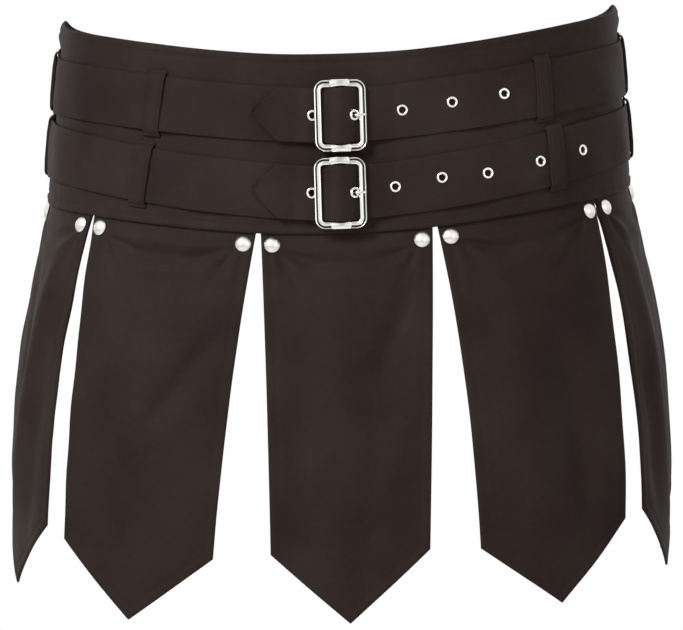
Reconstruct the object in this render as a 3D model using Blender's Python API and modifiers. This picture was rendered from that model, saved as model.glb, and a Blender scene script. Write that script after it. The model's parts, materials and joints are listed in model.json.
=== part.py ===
"""Builds a panelled kilt, hollow as if worn: a hip yoke, two belts in loops and ten pointed panels.

Everything is in metres, +Z is up and the front faces -Y. The origin is the middle of the yoke,
where the wearer's hips hold the kilt. Arcs are measured round the hips from the centre front,
positive to +X, and drops are measured down from the yoke's top edge.
"""

import math

import bmesh
import bpy
from mathutils import Matrix, Vector

# Hips that the yoke goes round: half sizes of its outer face at the top edge and at the seam.
TOP_HALF_WIDTH = 0.164
TOP_HALF_DEPTH = 0.128
HIP_HALF_WIDTH = 0.173
HIP_HALF_DEPTH = 0.135
HIP_SQUARENESS = 2.8
HIP_TILT = math.radians(1.7)

# Yoke.
YOKE_HEIGHT = 0.1044
YOKE_WALL = 0.0016
# Columns: arc from the centre front, rise of the top edge above the centre front.
TOP_EDGE = (
    (0.0, 0.0),
    (0.04, 0.0009),
    (0.08, 0.0045),
    (0.12, 0.0096),
    (0.16, 0.0148),
    (0.20, 0.0186),
    (0.24, 0.0212),
    (0.28, 0.0242),
    (0.305, 0.0205),
    (0.36, 0.0135),
    (0.42, 0.0052),
    (0.48, -0.0005),
    (0.5155, -0.0015),
)

# Cloth that lies on other cloth is this far from it.
GAP = 0.0003

# Belts.
BELT_WIDTH = 0.032
STRAP_WIDTH = 0.0314
BELT_WALL = 0.0014
LOWER_BELT_SIDE_LIFT = 0.007
TIP_WIDTH = 0.0016
POINT_LENGTH = 0.015
# Columns: name, drop of its middle at the centre front, side lift, arc of the strap's tip,
# eyelets as (arc, distance above the belt's middle).
BELTS = (
    (
        "upper",
        0.0342,
        0.0,
        -0.0516,
        ((-0.0157, 0.0), (0.0086, 0.0), (0.0380, 0.0), (0.0680, 0.0008), (0.1000, 0.0010)),
    ),
    (
        "lower",
        0.0792,
        LOWER_BELT_SIDE_LIFT,
        -0.0506,
        (
            (-0.0158, 0.0),
            (0.0087, 0.0),
            (0.0329, 0.0009),
            (0.0606, 0.0022),
            (0.0878, 0.0),
            (0.1208, 0.0),
            (0.1515, 0.0),
        ),
    ),
)

# Belt loops: arc from the centre front at the belt's middle, lean of the foot away from the head.
LOOP_WIDTH = 0.0102
LOOP_WALL = 0.001
LOOP_OVERHANG = 0.0035
HIP_LOOP_OVERHANG = 0.0026
LOOP_RISE = 0.0012
LOOPS = {
    "upper": (("left", -0.1125, -0.003), ("right", 0.1255, 0.0)),
    "lower": (("left", -0.1185, -0.004), ("right", 0.1315, 0.001)),
}
SIDE_LOOP_ARC = 0.255

# Buckles.
BUCKLE_ARC = 0.0009
BUCKLE_DROP = 0.0018
BUCKLE_REACH = 0.035
BUCKLE_WIDTH = 0.0307
BUCKLE_HEIGHT = 0.0420
RIM_WIDTH = 0.0046
RIM_DEPTH = 0.0026
CORNER_RADIUS = 0.0064
SLEEVE_LENGTH = 0.0119
SLEEVE_RADIUS = 0.0027
BAR_RADIUS = 0.001
BAR_SINK = 0.0012
RIM_CLEARANCE = 0.0011
PRONG_RADIUS = 0.0008

# Eyelets and studs.
EYELET_RADIUS = 0.0034
EYELET_HOLE = 0.0018
EYELET_FACE = 0.0006
STRAP_HOLE = 0.0024
STUD_RADIUS = 0.0046
STUD_HEIGHT = 0.0026
STUD_INSET = 0.0078
STUD_DROP = 0.0062

# Panels: ten hang from the yoke, five of them in front.
PANEL_WALL = 0.0015
PANEL_SHIFT = 0.0046
PANEL_TUCK = 0.010
PANEL_DROP = 0.226
POINT_HEIGHT = 0.040
SLIT_AT_SEAM = 0.0028
PANEL_TAPER = 0.0045
FLARE_WIDTH = 0.025
FLARE_DEPTH = 0.018
FLARE_EASE = 2.6
HEM_SHIFT = 0.0015
SWING_EASE = 1.3
PANEL_PITCH = 0.1031
INNER_SLIT = 0.5 * PANEL_PITCH
OUTER_SLIT = 1.5 * PANEL_PITCH + 0.005
HIP_SLIT = 2.5 * PANEL_PITCH
# Columns: name, arcs of its two edges from the front panel's middle, change of its drop,
# how far round its foot swings.
PANEL_ROWS = (
    ("front", -INNER_SLIT, INNER_SLIT, 0.0, 0.0),
    ("front_left", -OUTER_SLIT, -INNER_SLIT, 0.002, -0.0095),
    ("front_right", INNER_SLIT, OUTER_SLIT, 0.001, 0.005),
    ("side_left", -HIP_SLIT, -OUTER_SLIT, -0.005, -0.001),
    ("side_right", OUTER_SLIT, HIP_SLIT, -0.003, -0.003),
)
# The back slits lie this much further out than the front ones.
BACK_SLITS_OUT = (0.0028, 0.0055)
# Columns: name, change of its drop, how far round its foot swings; from the right hip round
# the back to the left hip.
BACK_PANEL_ROWS = (
    ("hip_right", -0.006, -0.007),
    ("back_right", 0.0, -0.006),
    ("back", -0.002, 0.0),
    ("back_left", 0.0, 0.0105),
    ("hip_left", -0.006, 0.008),
)

YOKE_COLOUR = (0.030, 0.022, 0.020)
BELT_COLOUR = (0.027, 0.020, 0.018)
PANEL_COLOUR = (0.034, 0.025, 0.022)
METAL_COLOUR = (0.62, 0.60, 0.56)

# Points that the hip ring is measured at, and the arc of one stride along it.
ARC_STEPS = 4000
STRIDE = 0.002


def smooth(rows, x):
    """The height at x on a smooth curve through rows of (x, height)."""
    for i in range(len(rows) - 1):
        if x <= rows[i + 1][0]:
            break
    x1, y1 = rows[i]
    x2, y2 = rows[i + 1]
    x0, y0 = rows[i - 1] if i else (2 * x1 - x2, y2)
    x3, y3 = rows[i + 2] if i + 2 < len(rows) else (2 * x2 - x1, y1)
    t = (x - x1) / (x2 - x1)
    start = (y2 - y0) / (x2 - x0) * (x2 - x1)
    end = (y3 - y1) / (x3 - x1) * (x2 - x1)
    return (
        (2 * t**3 - 3 * t**2 + 1) * y1
        + (t**3 - 2 * t**2 + t) * start
        + (3 * t**2 - 2 * t**3) * y2
        + (t**3 - t**2) * end
    )


def mix(a, b, share):
    return a + (b - a) * share


def unit_ring():
    """Points of the hip ring, scaled to half sizes of 1, with the arc that each one lies at."""
    rows = []
    for i in range(ARC_STEPS + 1):
        turn = math.pi * (2 * i / ARC_STEPS - 1)
        side, front = math.sin(turn), math.cos(turn)
        power = 2 / HIP_SQUARENESS
        rows.append((math.copysign(abs(side) ** power, side), -math.copysign(abs(front) ** power, front)))
    arcs = [0.0]
    for (x0, y0), (x1, y1) in zip(rows, rows[1:]):
        arcs.append(arcs[-1] + math.hypot((x1 - x0) * HIP_HALF_WIDTH, (y1 - y0) * HIP_HALF_DEPTH))
    middle = arcs[ARC_STEPS // 2]
    return rows, [arc - middle for arc in arcs]


RING, RING_ARCS = unit_ring()
HALF_ROUND = RING_ARCS[-1]


def ring_point(arc):
    """Where an arc lies on the ring of half sizes 1."""
    arc = (arc + HALF_ROUND) % (2 * HALF_ROUND) - HALF_ROUND
    low, high = 0, ARC_STEPS
    while high - low > 1:
        middle = (low + high) // 2
        if RING_ARCS[middle] <= arc:
            low = middle
        else:
            high = middle
    share = (arc - RING_ARCS[low]) / (RING_ARCS[high] - RING_ARCS[low])
    return Vector((mix(RING[low][0], RING[high][0], share), mix(RING[low][1], RING[high][1], share)))


def top_rise(arc):
    arc = abs((arc + HALF_ROUND) % (2 * HALF_ROUND) - HALF_ROUND)
    return smooth(TOP_EDGE, arc)


def on_ring(arc, half_width, half_depth, out):
    """A point on the ring of these half sizes, moved out from it, level with the origin."""

    def at(a):
        p = ring_point(a)
        return Vector((p.x * half_width, p.y * half_depth, 0))

    step = 0.003
    along = (at(arc + step) - at(arc - step)).normalized()
    return at(arc) + Vector((along.y, -along.x, 0)) * out


def tilted(point):
    return point + Vector((0, 0, point.x * math.tan(HIP_TILT)))


def yoke_point(arc, drop, out=0.0):
    """A point of the yoke's outer face, moved out from it."""
    share = drop / YOKE_HEIGHT
    point = on_ring(
        arc,
        mix(TOP_HALF_WIDTH, HIP_HALF_WIDTH, share),
        mix(TOP_HALF_DEPTH, HIP_HALF_DEPTH, share),
        out,
    )
    point.z = YOKE_HEIGHT / 2 + top_rise(arc) - drop
    return tilted(point)


def arc_at(target, half_width, half_depth, start):
    """The arc whose point on the larger ring is a distance along it from where start lies."""
    turn = math.copysign(STRIDE, target)
    steps = 12
    arc = start
    for _ in range(steps):
        a, b = ring_point(arc), ring_point(arc + turn)
        grown = math.hypot((b.x - a.x) * half_width, (b.y - a.y) * half_depth)
        arc += turn * abs(target) / steps / grown
    return arc


def panel_half_width(row, fall):
    pitch = (row["end"] - row["start"]) / 2
    return pitch - SLIT_AT_SEAM / 2 - PANEL_TAPER * max(fall, 0) / PANEL_DROP


def panel_point(row, across, fall, out=0.0):
    """A point of a panel's outer face: across from -1 to 1, fall down from the seam."""
    share = max(fall, 0) / PANEL_DROP
    middle = (row["start"] + row["end"]) / 2 + row["swing"] * share**SWING_EASE
    flare = 1 - (1 - min(share, 1)) ** FLARE_EASE
    half_width = HIP_HALF_WIDTH + FLARE_WIDTH * flare
    half_depth = HIP_HALF_DEPTH + FLARE_DEPTH * flare
    arc = arc_at(across * panel_half_width(row, fall), half_width, half_depth, middle)
    back = YOKE_WALL + GAP
    if fall < 0:
        return yoke_point(arc, YOKE_HEIGHT + fall, out - back)
    point = on_ring(arc, half_width, half_depth, out - back)
    point.x += HEM_SHIFT * flare
    seam_arc = (row["start"] + row["end"]) / 2 + across * panel_half_width(row, 0)
    point.z = top_rise(seam_arc) - YOKE_HEIGHT / 2 - fall
    return tilted(point)


def material(name, colour, roughness, metallic):
    made = bpy.data.materials.new(name)
    made.use_nodes = True
    shader = made.node_tree.nodes["Principled BSDF"]
    shader.inputs["Base Color"].default_value = (*colour, 1.0)
    shader.inputs["Roughness"].default_value = roughness
    shader.inputs["Metallic"].default_value = metallic
    return made


def add_object(name, mesh, coating, collection):
    for polygon in mesh.polygons:
        polygon.use_smooth = True
    obj = bpy.data.objects.new(name, mesh)
    mesh.materials.append(coating)
    collection.objects.link(obj)
    return obj


def cloth(name, columns, rows, place, wall, offset, coating, collection):
    """A sheet of cloth: a grid whose points place() puts, from shares across and up, with a wall."""
    shape = bmesh.new()
    bmesh.ops.create_grid(shape, x_segments=columns, y_segments=rows, size=0.5)
    for vertex in shape.verts:
        vertex.co = place(vertex.co.x + 0.5, vertex.co.y + 0.5)
    mesh = bpy.data.meshes.new(name)
    shape.to_mesh(mesh)
    shape.free()
    obj = add_object(name, mesh, coating, collection)
    solidify = obj.modifiers.new("Wall", "SOLIDIFY")
    solidify.thickness = wall
    solidify.offset = offset
    solidify.use_even_offset = True
    return obj


def turned(name, profile, steps, frame, coating, collection):
    """A turned piece: a profile of (radius, height) spun round its own Z axis, placed by frame."""
    shape = bmesh.new()
    points = [shape.verts.new((radius, 0, height)) for radius, height in profile]
    for a, b in zip(points, points[1:]):
        shape.edges.new((a, b))
    if profile[0][0] > 0:
        shape.edges.new((points[-1], points[0]))
    mesh = bpy.data.meshes.new(name)
    shape.to_mesh(mesh)
    shape.free()
    obj = add_object(name, mesh, coating, collection)
    screw = obj.modifiers.new("Turn", "SCREW")
    screw.steps = steps
    screw.render_steps = steps
    screw.use_merge_vertices = True
    screw.merge_threshold = 0.00002
    obj.matrix_world = frame
    return obj


def frame_at(place, step=STRIDE):
    """A matrix whose Z leaves the cloth and whose Y runs up it; place takes (along, up, out)."""
    origin = place(0, 0, 0)
    along = (place(step, 0, 0) - place(-step, 0, 0)).normalized()
    up = (place(0, step, 0) - place(0, -step, 0)).normalized()
    out = along.cross(up).normalized()
    up = out.cross(along)
    frame = Matrix((along, up, out)).transposed().to_4x4()
    frame.translation = origin
    return frame


def add_yoke(coating, collection):
    quarter = HALF_ROUND / 2
    for name, start, end in (
        ("yoke_front", -quarter + GAP / 2, quarter - GAP / 2),
        ("yoke_back", quarter + GAP / 2, 3 * quarter - GAP / 2),
    ):

        def place(along, up, start=start, end=end):
            return yoke_point(mix(start, end, along), YOKE_HEIGHT * (1 - up))

        cloth(name, 44, 4, place, YOKE_WALL, -1, coating, collection)


def belt_drop(belt, arc):
    """The drop of a belt's middle: it rides up towards the sides and sags under its buckle."""
    side = ring_point(arc).x
    from_buckle = (arc - BUCKLE_ARC + HALF_ROUND) % (2 * HALF_ROUND) - HALF_ROUND
    sag = BUCKLE_DROP * math.exp(-((from_buckle / BUCKLE_REACH) ** 2))
    return belt["drop"] - belt["lift"] * side**2 + sag


def layer(number):
    """How far out the middle of a layer of belt lies, counted from 0 on the yoke."""
    return GAP + BELT_WALL / 2 + number * (BELT_WALL + GAP)


RIM_OUT = layer(2) + BELT_WALL / 2 + RIM_CLEARANCE + RIM_DEPTH / 2
BAR_OUT = RIM_OUT - BAR_SINK
WRAP_RADIUS = BAR_RADIUS + 2 * GAP + BELT_WALL / 2
STRAP_TOP_OUT = BAR_OUT + WRAP_RADIUS + BELT_WALL + GAP


def strap_stations():
    """The strap's run over the buckle as (arc from the bar, distance out), tip side first."""
    rim = (BUCKLE_WIDTH - RIM_WIDTH) / 2
    return (
        (-0.031, layer(1)),
        (-0.026, layer(1)),
        (-0.0210, layer(2)),
        (-rim, layer(2)),
        (-0.0085, layer(2) + 0.0014),
        (-0.0045, STRAP_TOP_OUT - 0.0012),
        (0.0, STRAP_TOP_OUT),
        (0.0042, STRAP_TOP_OUT - 0.0014),
        (0.0122, layer(2) + 0.0002),
        (0.0180, layer(2) - 0.0008),
        (0.025, layer(1) - 0.0004),
        (0.034, layer(0)),
    )


def belt_route(belt):
    """The whole belt as (arc, distance out, width): from its pointed tip, through the buckle,
    round the hips and back under itself to its fold round the buckle's bar."""
    route = []
    tip = belt["tip"]
    for share in (0.0, 0.35, 0.7, 1.0):
        width = mix(TIP_WIDTH, STRAP_WIDTH, share)
        route.append((tip + POINT_LENGTH * share, layer(1), width))
    for along, out in strap_stations():
        route.append((BUCKLE_ARC + along, out, STRAP_WIDTH))
    start = BUCKLE_ARC + 0.046
    end = 2 * HALF_ROUND + BUCKLE_ARC - 0.024
    steps = 84
    for i in range(steps + 1):
        route.append((mix(start, end, i / steps), layer(0), BELT_WIDTH))
    bar = 2 * HALF_ROUND + BUCKLE_ARC
    route.append((bar - 0.0140, layer(0), STRAP_WIDTH))
    route.append((bar - 0.0095, layer(0), STRAP_WIDTH))
    route.append((bar - 0.0045, mix(layer(0), BAR_OUT - WRAP_RADIUS, 0.6), STRAP_WIDTH))
    turn_steps = 8
    for i in range(turn_steps + 1):
        turn = math.pi * i / turn_steps
        along = WRAP_RADIUS * math.sin(turn)
        out = BAR_OUT - WRAP_RADIUS * math.cos(turn)
        route.append((bar + along, out, STRAP_WIDTH))
    for along, out in (
        (-0.0025, BAR_OUT + WRAP_RADIUS - 0.0007),
        (-0.0065, layer(1) + 0.0010),
        (-0.0105, layer(1)),
        (-0.0160, layer(1)),
    ):
        route.append((bar + along, out, STRAP_WIDTH))
    return route


def add_belt(belt, coating, collection, cutters):
    route = belt_route(belt)
    last = len(route) - 1

    def place(along, up):
        arc, out, width = route[round(along * last)]
        return yoke_point(arc, belt_drop(belt, arc) - width * (up - 0.5), out)

    obj = cloth(f"belt_{belt['name']}", last, 2, place, BELT_WALL, 0, coating, collection)
    for i, (arc, up) in enumerate(belt["eyelets"]):
        cutter = bpy.data.meshes.new("Cutter")
        shape = bmesh.new()
        bmesh.ops.create_cone(
            shape,
            cap_ends=True,
            segments=16,
            radius1=STRAP_HOLE,
            radius2=STRAP_HOLE,
            depth=2.2 * BELT_WALL,
        )
        shape.to_mesh(cutter)
        shape.free()
        hole = bpy.data.objects.new(f"Cutter_{belt['name']}_{i}", cutter)
        hole.hide_render = True
        hole.display_type = "WIRE"
        cutters.objects.link(hole)
        hole.matrix_world = frame_at(strap_place(belt, arc, up))
        cut = obj.modifiers.new(f"Hole {i}", "BOOLEAN")
        cut.operation = "DIFFERENCE"
        cut.solver = "EXACT"
        cut.object = hole


def strap_out(belt, arc):
    """How far out the middle of the top layer of the belt lies."""
    stations = [(BUCKLE_ARC + along, out) for along, out in strap_stations()]
    if arc <= stations[0][0]:
        return layer(1)
    for (a, low), (b, high) in zip(stations, stations[1:]):
        if arc <= b:
            return mix(low, high, (arc - a) / (b - a))
    return layer(0)


def strap_place(belt, arc, up):
    """Places by (along, up, out) about a spot on the strap's middle surface."""

    def place(along, rise, out):
        a = arc + along
        drop = belt_drop(belt, a) - up - rise
        return yoke_point(a, drop, strap_out(belt, a) + out)

    return place


def add_eyelets(belt, coating, collection):
    """Rolled metal rings through the strap's holes, clear of the cloth all round."""
    face = BELT_WALL / 2 + GAP
    lip = face + EYELET_FACE
    neck = STRAP_HOLE - GAP
    profile = (
        (EYELET_HOLE, -BELT_WALL / 2),
        (EYELET_HOLE, face),
        (mix(EYELET_HOLE, EYELET_RADIUS, 0.45), lip),
        (EYELET_RADIUS, face),
        (neck, face),
        (neck, -BELT_WALL / 2),
    )
    for i, (arc, up) in enumerate(belt["eyelets"]):
        frame = frame_at(strap_place(belt, arc, up))
        name = f"eyelet_{belt['name']}_{i + 1}"
        turned(name, profile, 14, frame, coating, collection)


def add_loop(belt, name, arc, lean, overhang, coating, collection):
    """A loop sewn to the yoke above and below a belt, standing a little off it."""
    reach = BELT_WIDTH / 2 + overhang
    foot = GAP + LOOP_WALL
    over = layer(0) + BELT_WALL / 2 + GAP + LOOP_WALL
    # Columns: height from the belt's middle, distance out of the loop's outer face.
    shape = (
        (reach, foot),
        (reach - 0.0012, foot),
        (BELT_WIDTH / 2 + 0.0009, over + 0.0002),
        (BELT_WIDTH / 4, over + LOOP_RISE),
        (0.0, over + LOOP_RISE),
        (-BELT_WIDTH / 4, over + LOOP_RISE),
        (-BELT_WIDTH / 2 - 0.0009, over + 0.0002),
        (-reach + 0.0012, foot),
        (-reach, foot),
    )
    last = len(shape) - 1

    def place(along, up):
        height, out = shape[last - round(up * last)]
        a = arc + LOOP_WIDTH * (along - 0.5) - lean * height / reach / 2
        return yoke_point(a, belt_drop(belt, a) - height, out)

    full_name = f"loop_{belt['name']}_{name}"
    cloth(full_name, 2, last, place, LOOP_WALL, -1, coating, collection)


def panel_table():
    """Every panel with the arcs of its edges. The back ones face the front ones, a little wider,
    so that each front slit has a back slit behind it."""
    rows = []
    for name, start, end, longer, swing in PANEL_ROWS:
        row = {"name": name, "longer": longer, "swing": swing}
        row["start"] = PANEL_SHIFT + start
        row["end"] = PANEL_SHIFT + end
        rows.append(row)
    inner = INNER_SLIT + BACK_SLITS_OUT[0]
    outer = OUTER_SLIT + BACK_SLITS_OUT[1]
    back_middle = HALF_ROUND - PANEL_SHIFT
    edges = [PANEL_SHIFT + HIP_SLIT]
    edges += [back_middle + step for step in (-outer, -inner, inner, outer)]
    edges.append(2 * HALF_ROUND + PANEL_SHIFT - HIP_SLIT)
    for (name, longer, swing), start, end in zip(BACK_PANEL_ROWS, edges, edges[1:]):
        rows.append({"name": name, "start": start, "end": end, "longer": longer, "swing": swing})
    return rows


def add_panel(row, coating, collection):
    """A panel with a row of points at the seam, and its tuck behind the yoke above that."""
    rows = 12
    seam = (rows - 1) / rows

    def place(across, up):
        across = 2 * across - 1
        length = PANEL_DROP + row["longer"] - POINT_HEIGHT * abs(across)
        fall = -PANEL_TUCK if up > seam + 0.5 / rows else mix(length, 0.0, up / seam)
        return panel_point(row, across, fall)

    cloth(f"panel_{row['name']}", 8, rows, place, PANEL_WALL, -1, coating, collection)


def add_studs(row, coating, collection):
    """A domed rivet at each top corner of a panel."""
    profile = (
        (0.0, STUD_HEIGHT),
        (0.55 * STUD_RADIUS, 0.84 * STUD_HEIGHT),
        (0.90 * STUD_RADIUS, 0.42 * STUD_HEIGHT),
        (STUD_RADIUS, 0.0),
        (0.0, 0.0),
    )
    half = panel_half_width(row, STUD_DROP)
    inset = STUD_INSET - SLIT_AT_SEAM / 2
    for side in (-1, 1):
        across = side * (1 - inset / half)

        def place(along, up, out, across=across):
            return panel_point(row, across + along / half, STUD_DROP - up, out + GAP)

        name = f"stud_{row['name']}_{'a' if side < 0 else 'b'}"
        turned(name, profile, 14, frame_at(place), coating, collection)


def rounded_rectangle(width, height, radius, steps):
    """Corner arcs of a rounded rectangle about the origin, anticlockwise."""
    points = []
    for quarter in range(4):
        cx = (width / 2 - radius) * (1 if quarter in (0, 3) else -1)
        cy = (height / 2 - radius) * (1 if quarter in (0, 1) else -1)
        for i in range(steps + 1):
            turn = math.pi / 2 * (quarter + i / steps)
            points.append((cx + radius * math.cos(turn), cy + radius * math.sin(turn)))
    return points


def rim_mesh():
    """The buckle's rim: a flat section with a raised inner and outer edge, swept round."""
    half = RIM_WIDTH / 2
    deep = RIM_DEPTH / 2
    # Columns: distance out from the middle of the rim's width, height.
    section = (
        (-half, -deep * 0.4),
        (-half * 0.7, -deep),
        (half * 0.7, -deep),
        (half, -deep * 0.4),
        (half, deep * 0.2),
        (half * 0.55, deep),
        (0.0, deep * 0.75),
        (-half * 0.55, deep),
        (-half, deep * 0.2),
    )
    steps = 6
    rings = []
    shape = bmesh.new()
    for offset, height in section:
        outline = rounded_rectangle(
            BUCKLE_WIDTH - RIM_WIDTH + 2 * offset,
            BUCKLE_HEIGHT - RIM_WIDTH + 2 * offset,
            CORNER_RADIUS - half + offset,
            steps,
        )
        rings.append([shape.verts.new((x, y, height)) for x, y in outline])
    for low, high in zip(rings, rings[1:] + rings[:1]):
        for i in range(len(low)):
            j = (i + 1) % len(low)
            shape.faces.new((low[i], low[j], high[j], high[i]))
    bmesh.ops.recalc_face_normals(shape, faces=shape.faces)
    mesh = bpy.data.meshes.new("Rim")
    shape.to_mesh(mesh)
    shape.free()
    return mesh


def rod_mesh(radius, length, turn, place, segments):
    shape = bmesh.new()
    bmesh.ops.create_cone(
        shape, cap_ends=True, segments=segments, radius1=radius, radius2=radius, depth=length
    )
    bmesh.ops.transform(shape, matrix=Matrix.Translation(place) @ turn, verts=shape.verts)
    mesh = bpy.data.meshes.new("Rod")
    shape.to_mesh(mesh)
    shape.free()
    return mesh


def add_buckle(belt, coating, collection, cutters):
    """Rim, sleeves and centre bar as one piece, and the prong through the strap's eyelet."""

    def place(along, up, out):
        arc = BUCKLE_ARC + along
        return yoke_point(arc, belt_drop(belt, arc) - up, RIM_OUT + out)

    frame = frame_at(place, 0.01)
    obj = add_object(f"buckle_{belt['name']}", rim_mesh(), coating, collection)
    obj.matrix_world = frame
    across = Matrix.Rotation(math.pi / 2, 4, "Y")
    upright = Matrix.Rotation(math.pi / 2, 4, "X")
    edge = (BUCKLE_HEIGHT - RIM_WIDTH) / 2
    rods = [
        (SLEEVE_RADIUS, SLEEVE_LENGTH, across, (0, edge, 0), 12),
        (SLEEVE_RADIUS, SLEEVE_LENGTH, across, (0, -edge, 0), 12),
        (BAR_RADIUS, 2 * edge, upright, (0, 0, BAR_OUT - RIM_OUT), 10),
    ]
    for i, rod in enumerate(rods):
        helper = bpy.data.objects.new(f"Rod_{belt['name']}_{i}", rod_mesh(*rod))
        helper.hide_render = True
        helper.display_type = "WIRE"
        cutters.objects.link(helper)
        helper.matrix_world = frame
        join = obj.modifiers.new(f"Join {i}", "BOOLEAN")
        join.operation = "UNION"
        join.solver = "EXACT"
        join.object = helper
    add_prong(belt, coating, collection)


def add_prong(belt, coating, collection):
    rim_top = RIM_OUT + RIM_DEPTH / 2
    rest = rim_top + GAP + PRONG_RADIUS
    arc = belt["eyelets"][1][0]
    # Columns: arc, distance out.
    stations = (
        (BUCKLE_ARC + WRAP_RADIUS + BELT_WALL / 2 + GAP + PRONG_RADIUS, BAR_OUT),
        (arc - 0.0026, BAR_OUT - 0.0016),
        (arc - 0.0009, BAR_OUT - 0.0015),
        (arc - 0.0003, BAR_OUT - 0.0006),
        (arc + 0.0007, rim_top - 0.0008),
        (arc + 0.0017, rest - 0.0002),
        (BUCKLE_ARC + BUCKLE_WIDTH / 2 - RIM_WIDTH + 0.001, rest),
        (BUCKLE_ARC + BUCKLE_WIDTH / 2 - 0.0004, rest),
    )
    drop = belt_drop(belt, arc)
    data = bpy.data.curves.new(f"prong_{belt['name']}", "CURVE")
    data.dimensions = "3D"
    data.bevel_depth = PRONG_RADIUS
    data.bevel_resolution = 2
    data.use_fill_caps = True
    spline = data.splines.new("POLY")
    spline.points.add(len(stations) - 1)
    for point, (a, out) in zip(spline.points, stations):
        point.co = (*yoke_point(a, drop, out), 1)
    obj = bpy.data.objects.new(data.name, data)
    data.materials.append(coating)
    collection.objects.link(obj)


def main():
    for obj in list(bpy.data.objects):
        bpy.data.objects.remove(obj, do_unlink=True)
    kilt = bpy.data.collections.new("Kilt")
    cutters = bpy.data.collections.new("Cutters")
    bpy.context.scene.collection.children.link(kilt)
    bpy.context.scene.collection.children.link(cutters)
    yoke_cloth = material("Yoke cloth", YOKE_COLOUR, 0.75, 0.0)
    belt_cloth = material("Belt cloth", BELT_COLOUR, 0.75, 0.0)
    panel_cloth = material("Panel cloth", PANEL_COLOUR, 0.75, 0.0)
    metal = material("Nickel", METAL_COLOUR, 0.22, 1.0)
    add_yoke(yoke_cloth, kilt)
    for name, drop, lift, tip, eyelets in BELTS:
        belt = {"name": name, "drop": drop, "lift": lift, "tip": tip, "eyelets": eyelets}
        add_belt(belt, belt_cloth, kilt, cutters)
        add_eyelets(belt, metal, kilt)
        add_buckle(belt, metal, kilt, cutters)
        for side, arc, lean in LOOPS[name]:
            add_loop(belt, side, arc, lean, LOOP_OVERHANG, belt_cloth, kilt)
        for side, arc in (
            ("hip_left", -SIDE_LOOP_ARC),
            ("hip_right", SIDE_LOOP_ARC),
            ("back", HALF_ROUND),
        ):
            add_loop(belt, side, arc, 0.0, HIP_LOOP_OVERHANG, belt_cloth, kilt)
    for row in panel_table():
        add_panel(row, panel_cloth, kilt)
        add_studs(row, metal, kilt)


main()
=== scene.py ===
# %% [markdown]
# # A panelled kilt with two belts
#
# This notebook dresses a CAD model of a kilt: a hip yoke, two belts held by loops and closed with
# nickel buckles, and ten pointed panels that hang from the yoke. The CAD model gives every size.
# Here each piece of cloth is cut flat, as on a sewing table, and then wrapped round the hips, so
# that its weave and its folds follow the cloth. Lengths are metres, +Z is up, the front faces -Y.

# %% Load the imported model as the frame
import json
import math

import bpy
import numpy as np
from mathutils import Matrix, Vector

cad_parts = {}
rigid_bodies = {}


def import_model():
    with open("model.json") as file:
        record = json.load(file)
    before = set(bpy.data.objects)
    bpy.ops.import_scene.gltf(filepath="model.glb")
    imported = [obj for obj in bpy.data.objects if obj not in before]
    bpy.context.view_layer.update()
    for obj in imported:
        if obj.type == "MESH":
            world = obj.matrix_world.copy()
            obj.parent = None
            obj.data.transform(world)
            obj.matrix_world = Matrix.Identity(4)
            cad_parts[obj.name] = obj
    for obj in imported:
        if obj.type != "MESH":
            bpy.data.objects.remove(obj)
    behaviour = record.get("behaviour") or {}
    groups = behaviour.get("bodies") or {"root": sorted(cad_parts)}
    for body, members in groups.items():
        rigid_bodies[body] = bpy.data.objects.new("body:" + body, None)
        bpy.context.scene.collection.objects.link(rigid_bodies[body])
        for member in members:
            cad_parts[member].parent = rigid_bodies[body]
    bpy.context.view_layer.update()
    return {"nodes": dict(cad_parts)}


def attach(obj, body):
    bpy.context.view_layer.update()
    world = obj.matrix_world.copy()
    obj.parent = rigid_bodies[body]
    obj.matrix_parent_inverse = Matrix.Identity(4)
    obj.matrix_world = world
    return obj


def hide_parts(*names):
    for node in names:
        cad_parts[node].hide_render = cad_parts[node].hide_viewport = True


bpy.ops.object.select_all(action="SELECT")
bpy.ops.object.delete()
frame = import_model()
print("CAD pieces:", len(frame["nodes"]))

# %% [markdown]
# ## The hips
#
# No body is modelled, but every piece follows the same one. The hips are a ring between an ellipse
# and a rectangle. A place on the cloth is an arc, measured round the ring from the centre front,
# and a drop below the yoke's top edge. These sizes repeat the ones that the CAD was made from.

# %% The ring round the hips
TOP_HALF_WIDTH, TOP_HALF_DEPTH = 0.164, 0.128
HIP_HALF_WIDTH, HIP_HALF_DEPTH = 0.173, 0.135
HIP_SQUARENESS = 2.8
HIP_TILT = math.radians(1.7)
YOKE_HEIGHT = 0.1044
YOKE_WALL = 0.0016
WIDE_ROUNDING, BELT_ROUNDING, LOOP_ROUNDING = 0.0006, 0.0005, 0.0004
GAP = 0.0003
RING_STEPS = 4000

turns = np.linspace(-math.pi, math.pi, RING_STEPS + 1)
power = 2 / HIP_SQUARENESS
RING_X = np.sign(np.sin(turns)) * np.abs(np.sin(turns)) ** power
RING_Y = -np.sign(np.cos(turns)) * np.abs(np.cos(turns)) ** power
strides = np.hypot(np.diff(RING_X) * HIP_HALF_WIDTH, np.diff(RING_Y) * HIP_HALF_DEPTH)
RING_ARC = np.concatenate([[0.0], np.cumsum(strides)])
RING_ARC -= RING_ARC[RING_STEPS // 2]
HALF_ROUND = RING_ARC[-1]
print("round the hips:", round(2 * HALF_ROUND, 3))


def mix(a, b, share):
    return a + (b - a) * share


def bell(x, middle, width):
    """A soft bump, 1 high at its middle."""
    return np.exp(-(((x - middle) / width) ** 2))


def unrolled(arc):
    return (arc + HALF_ROUND) % (2 * HALF_ROUND) - HALF_ROUND


def ring(arc):
    arc = unrolled(arc)
    return np.interp(arc, RING_ARC, RING_X), np.interp(arc, RING_ARC, RING_Y)


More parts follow.
